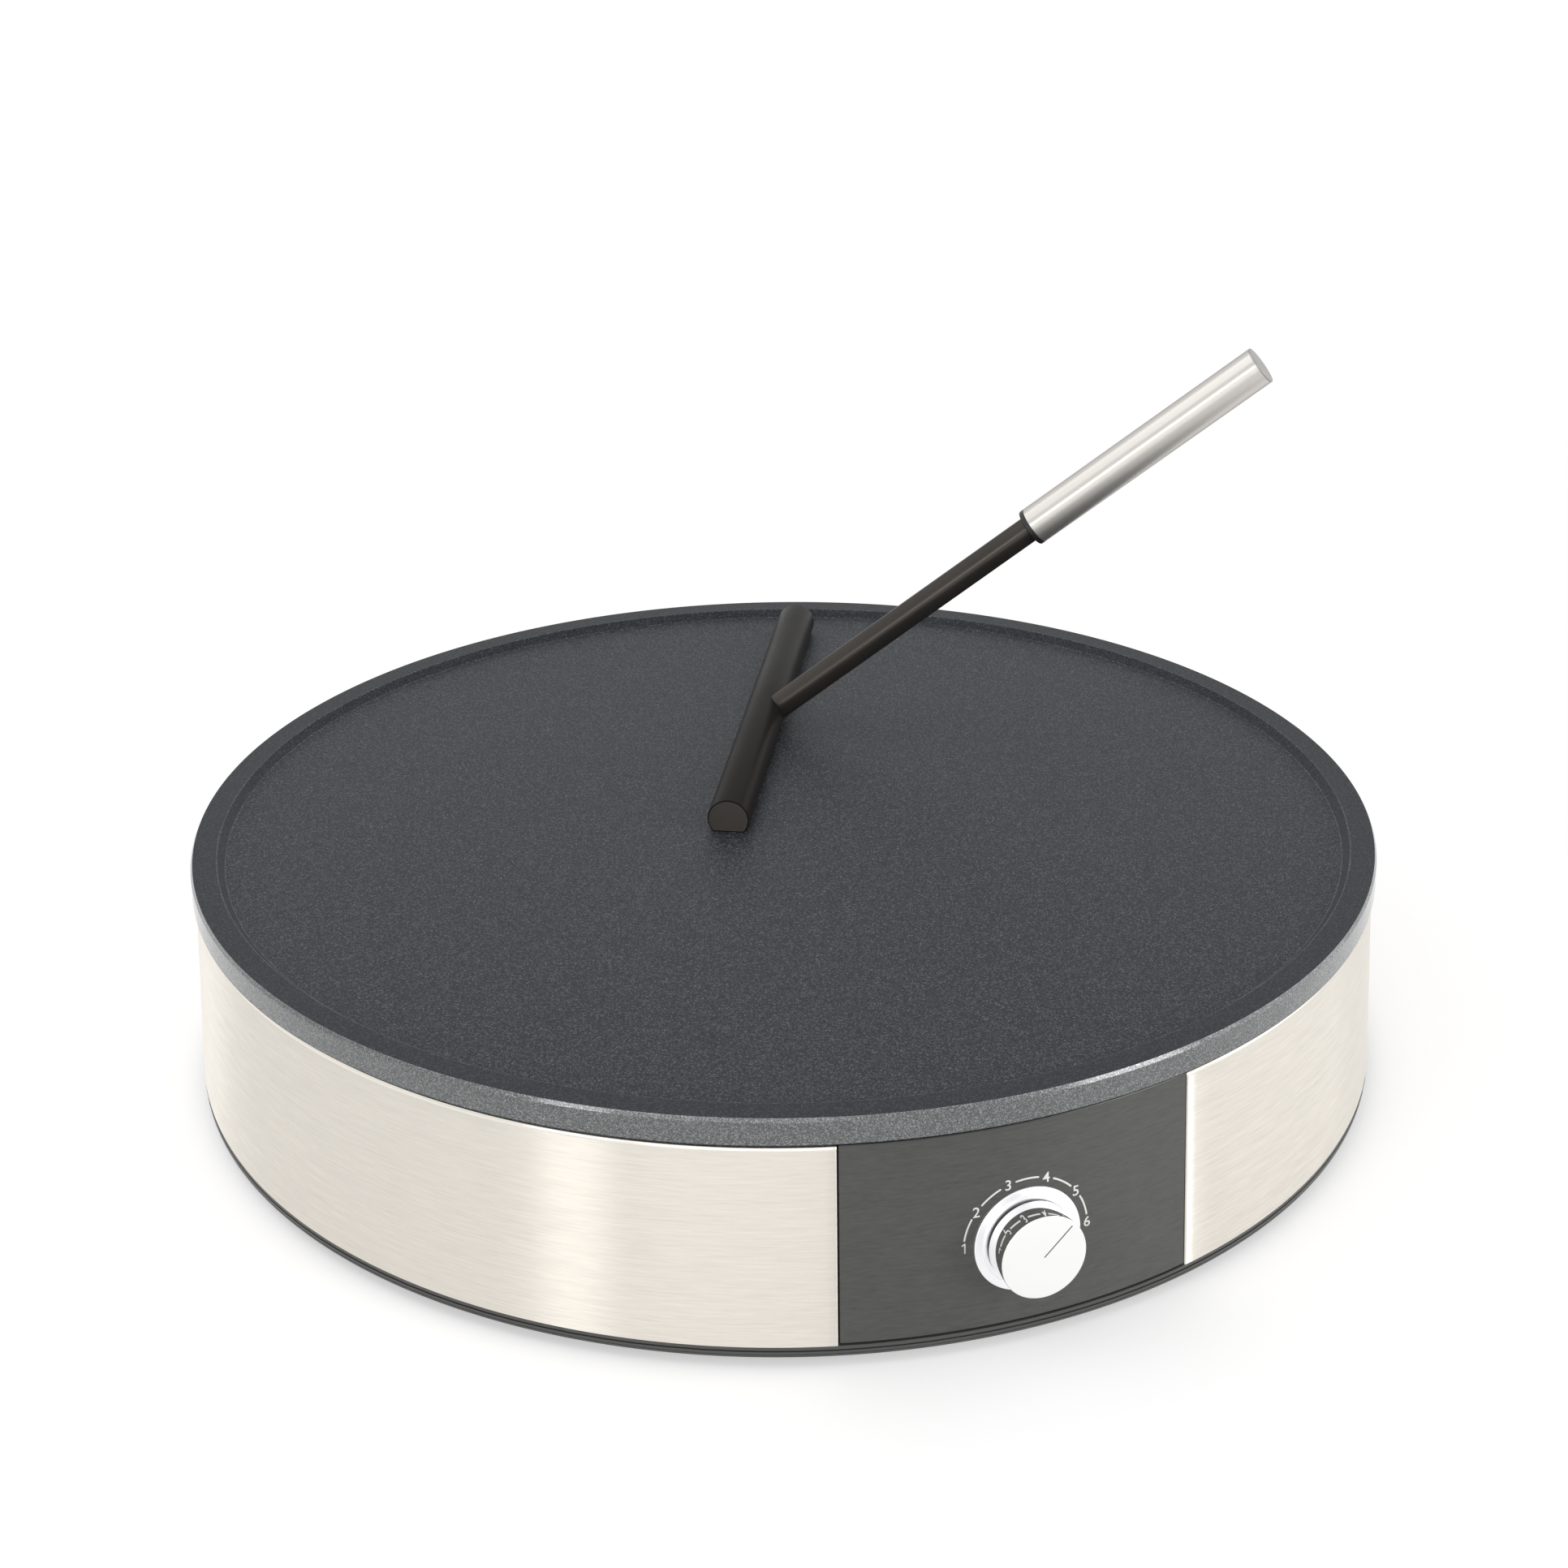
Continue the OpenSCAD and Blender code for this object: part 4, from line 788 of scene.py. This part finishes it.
def build_knob():
    turned = DIAL @ Matrix.Rotation(radians(-POINTER_TURN), 4, "Z")
    path = rounded([
        (KNOB_BACK_R - KNOB_WALL, KNOB_Z0),
        (KNOB_BACK_R, KNOB_Z0, 0.2),
        (KNOB_FACE_R, KNOB_Z1, 0.3),
        (KNOB_FACE_R * 0.5, KNOB_Z1),
        (0, KNOB_Z1),
        (0, KNOB_Z1 - KNOB_WALL),
        (KNOB_FACE_R - KNOB_WALL, KNOB_Z1 - KNOB_WALL),
    ], closed=True)
    face_out = turned.to_3x3() @ Vector((0, 0, 1))
    origin = turned.translation

    def face_slot(p):
        return 1 if (p - origin).dot(face_out) > KNOB_Z1 - 0.02 else 0

    form = Form()
    form.lathe(path, turned, 160, closed=True, slot=face_slot)
    knob = form.build("knob_shell", [chrome_finish, satin_finish, pointer_finish])
    groove = Form()
    half = POINTER_W / 2
    tip = KNOB_FACE_R - POINTER_MARGIN
    outline = [(-half, 0), (half, 0), (half, tip), (-half, tip)]
    groove.prism(outline, KNOB_Z1 - POINTER_DEPTH, KNOB_Z1 + 1, turned)
    cut(knob, groove.build("tool", []))
    near = 0.01
    for polygon in knob.data.polygons:
        p = turned.inverted() @ (polygon.center / MM)
        inside = abs(p.x) < half + near and -near < p.y < tip + near
        if inside and KNOB_Z1 - POINTER_DEPTH - near < p.z < KNOB_Z1 - near:
            polygon.material_index = 2
    place_piece(knob, "knob", "knob_cap", slot="dial_chrome")


# A 1 with a flag and no foot, about its middle, for a height of 1
ONE_OUTLINE = [
    (0.04, -0.5), (0.17, -0.5), (0.17, 0.5), (0.06, 0.5),
    (-0.17, 0.34), (-0.17, 0.21), (0.04, 0.34),
]


def number_outline(text):
    """Faces of a number, as points about its middle and corner lists."""
    if text == "1":
        return [Vector(p) * NUMBER_H for p in ONE_OUTLINE], [list(range(len(ONE_OUTLINE)))]
    font = bpy.data.curves.new("number", "FONT")
    font.body = text
    font.size = 1
    font.offset = NUMBER_WEIGHT
    source = bpy.data.objects.new("number", font)
    bpy.context.scene.collection.objects.link(source)
    bpy.context.view_layer.update()
    graph = bpy.context.evaluated_depsgraph_get()
    mesh = bpy.data.meshes.new_from_object(source.evaluated_get(graph))
    points = [v.co.copy() for v in mesh.vertices]
    faces = [list(p.vertices) for p in mesh.polygons]
    bpy.data.objects.remove(source)
    low = Vector([min(p[k] for p in points) for k in range(2)])
    high = Vector([max(p[k] for p in points) for k in range(2)])
    scale = NUMBER_H / (high.y - low.y)
    middle = (low + high) / 2
    return [(p.xy - middle) * scale for p in points], faces


def build_print():
    """Numbers and arcs around the dial, printed on the panel."""
    form = Form()
    for i in range(NUMBERS):
        turn = radians((i - (NUMBERS - 1) / 2) * NUMBER_STEP)
        x, y = NUMBER_R * sin(turn), NUMBER_R * cos(turn)
        points, faces = number_outline(str(i + 1))
        first = len(form.points)
        form.points.extend(on_skin(x + p.x, y + p.y, INK_T) for p in points)
        for face in faces:
            form.add_face([first + k for k in face])
    steps = 12
    for i in range(NUMBERS - 1):
        middle = (i - (NUMBERS - 2) / 2) * NUMBER_STEP
        rows = []
        for k in range(steps + 1):
            turn = radians(middle - ARC_HALF + 2 * ARC_HALF * k / steps)
            rows.append([
                on_skin(r * sin(turn), r * cos(turn), INK_T)
                for r in (NUMBER_R - ARC_W / 2, NUMBER_R + ARC_W / 2)
            ])
        form.grid(rows, [[(0, 0)] * 2] * (steps + 1))
    piece = form.build("dial_print", [ink_finish])
    thicken(piece, INK_T)
    place_piece(piece, "cooker", slot="dark_panel")


# ---------- batter spreader ----------

BAR_EDGE_R = 0.45
RING_L = 1.6
RING_SLEEVE_L = 14
CAP_FLANGE_T = 0.6
CAP_PLUG_L = 8


def build_spreader():
    r = BAR_D / 2
    middle_h = BAR_H - r
    flat = degrees(atan2(middle_h, (r * r - middle_h * middle_h) ** 0.5))
    section = circle_path(0, middle_h, r, -flat, 180 + flat, 72)
    along = SPREADER @ Matrix.Rotation(radians(90), 4, "X")
    form = Form()
    form.prism(section, -BAR_L / 2, BAR_L / 2, along)
    bar = form.build("spreader_blade", [spreader_finish, bar_end_lit_finish])
    bevel(bar, BAR_EDGE_R, 4)
    # The end faces take the lighter finish of painted light
    for polygon in bar.data.polygons:
        if abs(polygon.normal.dot(along.to_3x3() @ Vector((0, 0, 1)))) > 0.99:
            polygon.material_index = 1
    place_piece(bar, "spreader", "spreader_bar", slot="spreader_black")

    form = Form()
    form.lathe([(0, ROD_FOOT), (ROD_R, ROD_FOOT), (ROD_R, ROD_END), (0, ROD_END)], HANDLE, 72)
    rod = form.build("spreader_stem", [stem_finish])
    place_piece(rod, "spreader", "spreader_rod", slot="spreader_black")

    form = Form()
    ring_z = GRIP_START - RING_L
    form.lathe(rounded([
        (ROD_R, ring_z),
        (GRIP_R, ring_z, 0.35),
        (GRIP_R, GRIP_START, 0.1),
        (GRIP_BORE_R, GRIP_START),
        (GRIP_BORE_R, GRIP_START + RING_SLEEVE_L),
        (ROD_R, GRIP_START + RING_SLEEVE_L),
    ], closed=True), HANDLE, 96, closed=True)
    ring = form.build("grip_collar", [ring_finish])
    place_piece(ring, "spreader", "grip_ring", slot="gland_rubber")

    form = Form()
    sleeve_end = GRIP_END - CAP_FLANGE_T
    form.lathe(rounded([
        (GRIP_BORE_R, GRIP_START),
        (GRIP_R, GRIP_START, 0.15),
        (GRIP_R, (GRIP_START + sleeve_end) / 2),
        (GRIP_R, sleeve_end, 0.03),
        (GRIP_BORE_R, sleeve_end),
    ], closed=True), HANDLE, 128, closed=True)
    sleeve = form.build("grip_tube", [grip_finish])
    place_piece(sleeve, "spreader", "grip_sleeve", slot="grip_steel")

    form = Form()
    form.lathe(rounded([
        (0, sleeve_end - CAP_PLUG_L),
        (GRIP_BORE_R, sleeve_end - CAP_PLUG_L, 0.4),
        (GRIP_BORE_R, sleeve_end),
        (GRIP_R, sleeve_end, 0.03),
        (GRIP_R, GRIP_END, 0.2),
        (GRIP_R * 0.5, GRIP_END),
        (0, GRIP_END),
    ]), HANDLE, 128)
    cap = form.build("grip_end_disc", [end_finish])
    place_piece(cap, "spreader", "grip_cap", slot="grip_steel")


# ---------- gland ----------

GLAND_BORE_R = 3.7
GLAND_HEAD_R = 7.7
GLAND_HEAD_DEPTH = 9.8
GLAND_NECK_R = 6.5
GLAND_NECK_DEPTH = 2.3
GLAND_FLANGE_R = 9.5
GLAND_FLANGE_H = 3
GLAND_FLANGE_SUNK = 0.2
GLAND_MOUTH_R = 5.2
GLAND_MOUTH_H = 1.8


def build_gland():
    skin = skin_r(GLAND_Z)
    form = Form()
    form.lathe(rounded([
        (GLAND_BORE_R, skin - GLAND_HEAD_DEPTH),
        (GLAND_HEAD_R, skin - GLAND_HEAD_DEPTH, 0.6),
        (GLAND_HEAD_R, skin - GLAND_NECK_DEPTH),
        (GLAND_NECK_R, skin - GLAND_NECK_DEPTH),
        (GLAND_NECK_R, skin - GLAND_FLANGE_SUNK),
        (GLAND_FLANGE_R, skin - GLAND_FLANGE_SUNK),
        (GLAND_FLANGE_R, skin + GLAND_FLANGE_H, 1.2),
        (GLAND_MOUTH_R, skin + GLAND_FLANGE_H, 0.3),
        (GLAND_BORE_R, skin + GLAND_MOUTH_H, 0.3),
    ], closed=True), GLAND, 72, closed=True)
    piece = form.build("cord_bush", [rubber_finish])
    place_piece(piece, "cooker", "cord_gland", slot="gland_rubber")


build_plate()
build_housing()
build_feet()
build_collar()
build_knob()
build_print()
build_spreader()
build_gland()

NODE_SLOTS = {
    "element_steel": ["heating_element"],
    "ceramic": ["pin_insulators", "plate_spacers", "thermostat_case", "terminal_block"],
    "zinc_steel": [
        "element_clips", "element_clip_screws", "plate_screws", "saddle_washer", "bulb_clips",
        "bulb_clip_screws", "cutoff_screws", "thermostat_spindle",
    ],
    "shield_aluminium": ["heat_shield"],
    "base_plastic": ["base_pan", "thermal_cutoff", "knob_core"],
    "brass": ["bush_nut", "thermostat_tabs", "terminal_screws", "earth_tag"],
    "copper_tube": ["sensor_bulb", "capillary_tube"],
    "wire_brown": ["live_wire"],
    "wire_black": ["switched_wire", "element_wire"],
    "wire_blue": ["neutral_wire"],
    "wire_green": ["earth_wire"],
}
for slot_name, nodes in NODE_SLOTS.items():
    for node in nodes:
        for material_slot in frame["nodes"][node].material_slots:
            material_slot.material = SLOT_FINISHES[slot_name]


# ---------- floor, lamps, world and camera ----------

def seen_directly(tree):
    """1 for camera, glossy and transmission rays, else 0."""
    path = tree.nodes.new("ShaderNodeLightPath")
    socket = path.outputs["Is Camera Ray"]
    for name in ("Is Glossy Ray", "Is Transmission Ray"):
        larger = tree.nodes.new("ShaderNodeMath")
        larger.operation = "MAXIMUM"
        tree.links.new(socket, larger.inputs[0])
        tree.links.new(path.outputs[name], larger.inputs[1])
        socket = larger.outputs[0]
    return socket


def build_floor():
    bm = bmesh.new()
    bmesh.ops.create_circle(bm, cap_ends=True, segments=96, radius=8)
    mesh = bpy.data.meshes.new("floor")
    bm.to_mesh(mesh)
    bm.free()
    floor = bpy.data.objects.new("floor", mesh)
    bpy.context.scene.collection.objects.link(floor)
    f = Finish("floor_white", roughness=0.9, specular=0.1)
    f.set("Base Color", f.ramp(f.noise(3, 2), spread((0.70, 0.70, 0.70), 0.01)))
    f.set("Emission Color", (1, 1, 1, 1))
    reach = f.node("VectorMath", {0: f.place}, operation="LENGTH").outputs["Value"]
    glow = f.span(reach, *FLOOR_GLOW, *FLOOR_GLOW_REACH)
    f.set("Emission Strength", f.math("MULTIPLY", seen_directly(f.tree), glow))
    mesh.materials.append(f.material)


def build_world():
    world = bpy.data.worlds.new("studio")
    world.use_nodes = True
    tree = world.node_tree
    tree.nodes["Background"].inputs["Color"].default_value = (1, 1, 1, 1)
    strength = tree.nodes.new("ShaderNodeMapRange")
    tree.links.new(seen_directly(tree), strength.inputs["Value"])
    strength.inputs["To Min"].default_value = WORLD_FILL
    strength.inputs["To Max"].default_value = 1.0
    tree.links.new(strength.outputs["Result"], tree.nodes["Background"].inputs["Strength"])
    bpy.context.scene.world = world


def add_lamp(name, azimuth, elevation, distance, width, height, power):
    """Softbox aimed at the plate; azimuth 0 is in front and grows to the right."""
    data = bpy.data.lights.new(name, "AREA")
    data.shape = "RECTANGLE"
    data.size = width
    data.size_y = height
    data.energy = power
    lamp = bpy.data.objects.new(name, data)
    a, e = radians(azimuth), radians(elevation)
    lamp.location = Vector((sin(a) * cos(e), -cos(a) * cos(e), sin(e))) * distance
    lamp.rotation_euler = (-lamp.location).to_track_quat("-Z", "Y").to_euler()
    bpy.context.scene.collection.objects.link(lamp)


FLOOR_GLOW = (0.44, 0.74)
FLOOR_GLOW_REACH = (0.5, 2.5)
WORLD_FILL = 0.6
add_lamp("key", -56, 18, 1.6, 0.3, 0.42, 1.75)
add_lamp("front", -27, 18, 1.8, 1.1, 1.0, 2.3)
add_lamp("top", -112, 68, 1.7, 1.7, 1.5, 5.6)
add_lamp("right", 40, 10, 1.8, 0.6, 0.9, 9)
add_lamp("side", 78, 14, 1.8, 1.3, 1.0, 2.4)
add_lamp("rear", -145, 14, 1.8, 0.5, 0.6, 1.2)
build_floor()
build_world()

camera = bpy.data.objects.new("camera", bpy.data.cameras.new("camera"))
camera.data.lens = 63.343
camera.data.sensor_width = 36
camera.location = (-0.253728, -0.691342, 0.421840)
camera.rotation_euler = [radians(a) for a in (65.196, 0.590, -20.3685)]
bpy.context.scene.collection.objects.link(camera)
bpy.context.scene.camera = camera

bpy.context.scene.view_settings.view_transform = "Standard"
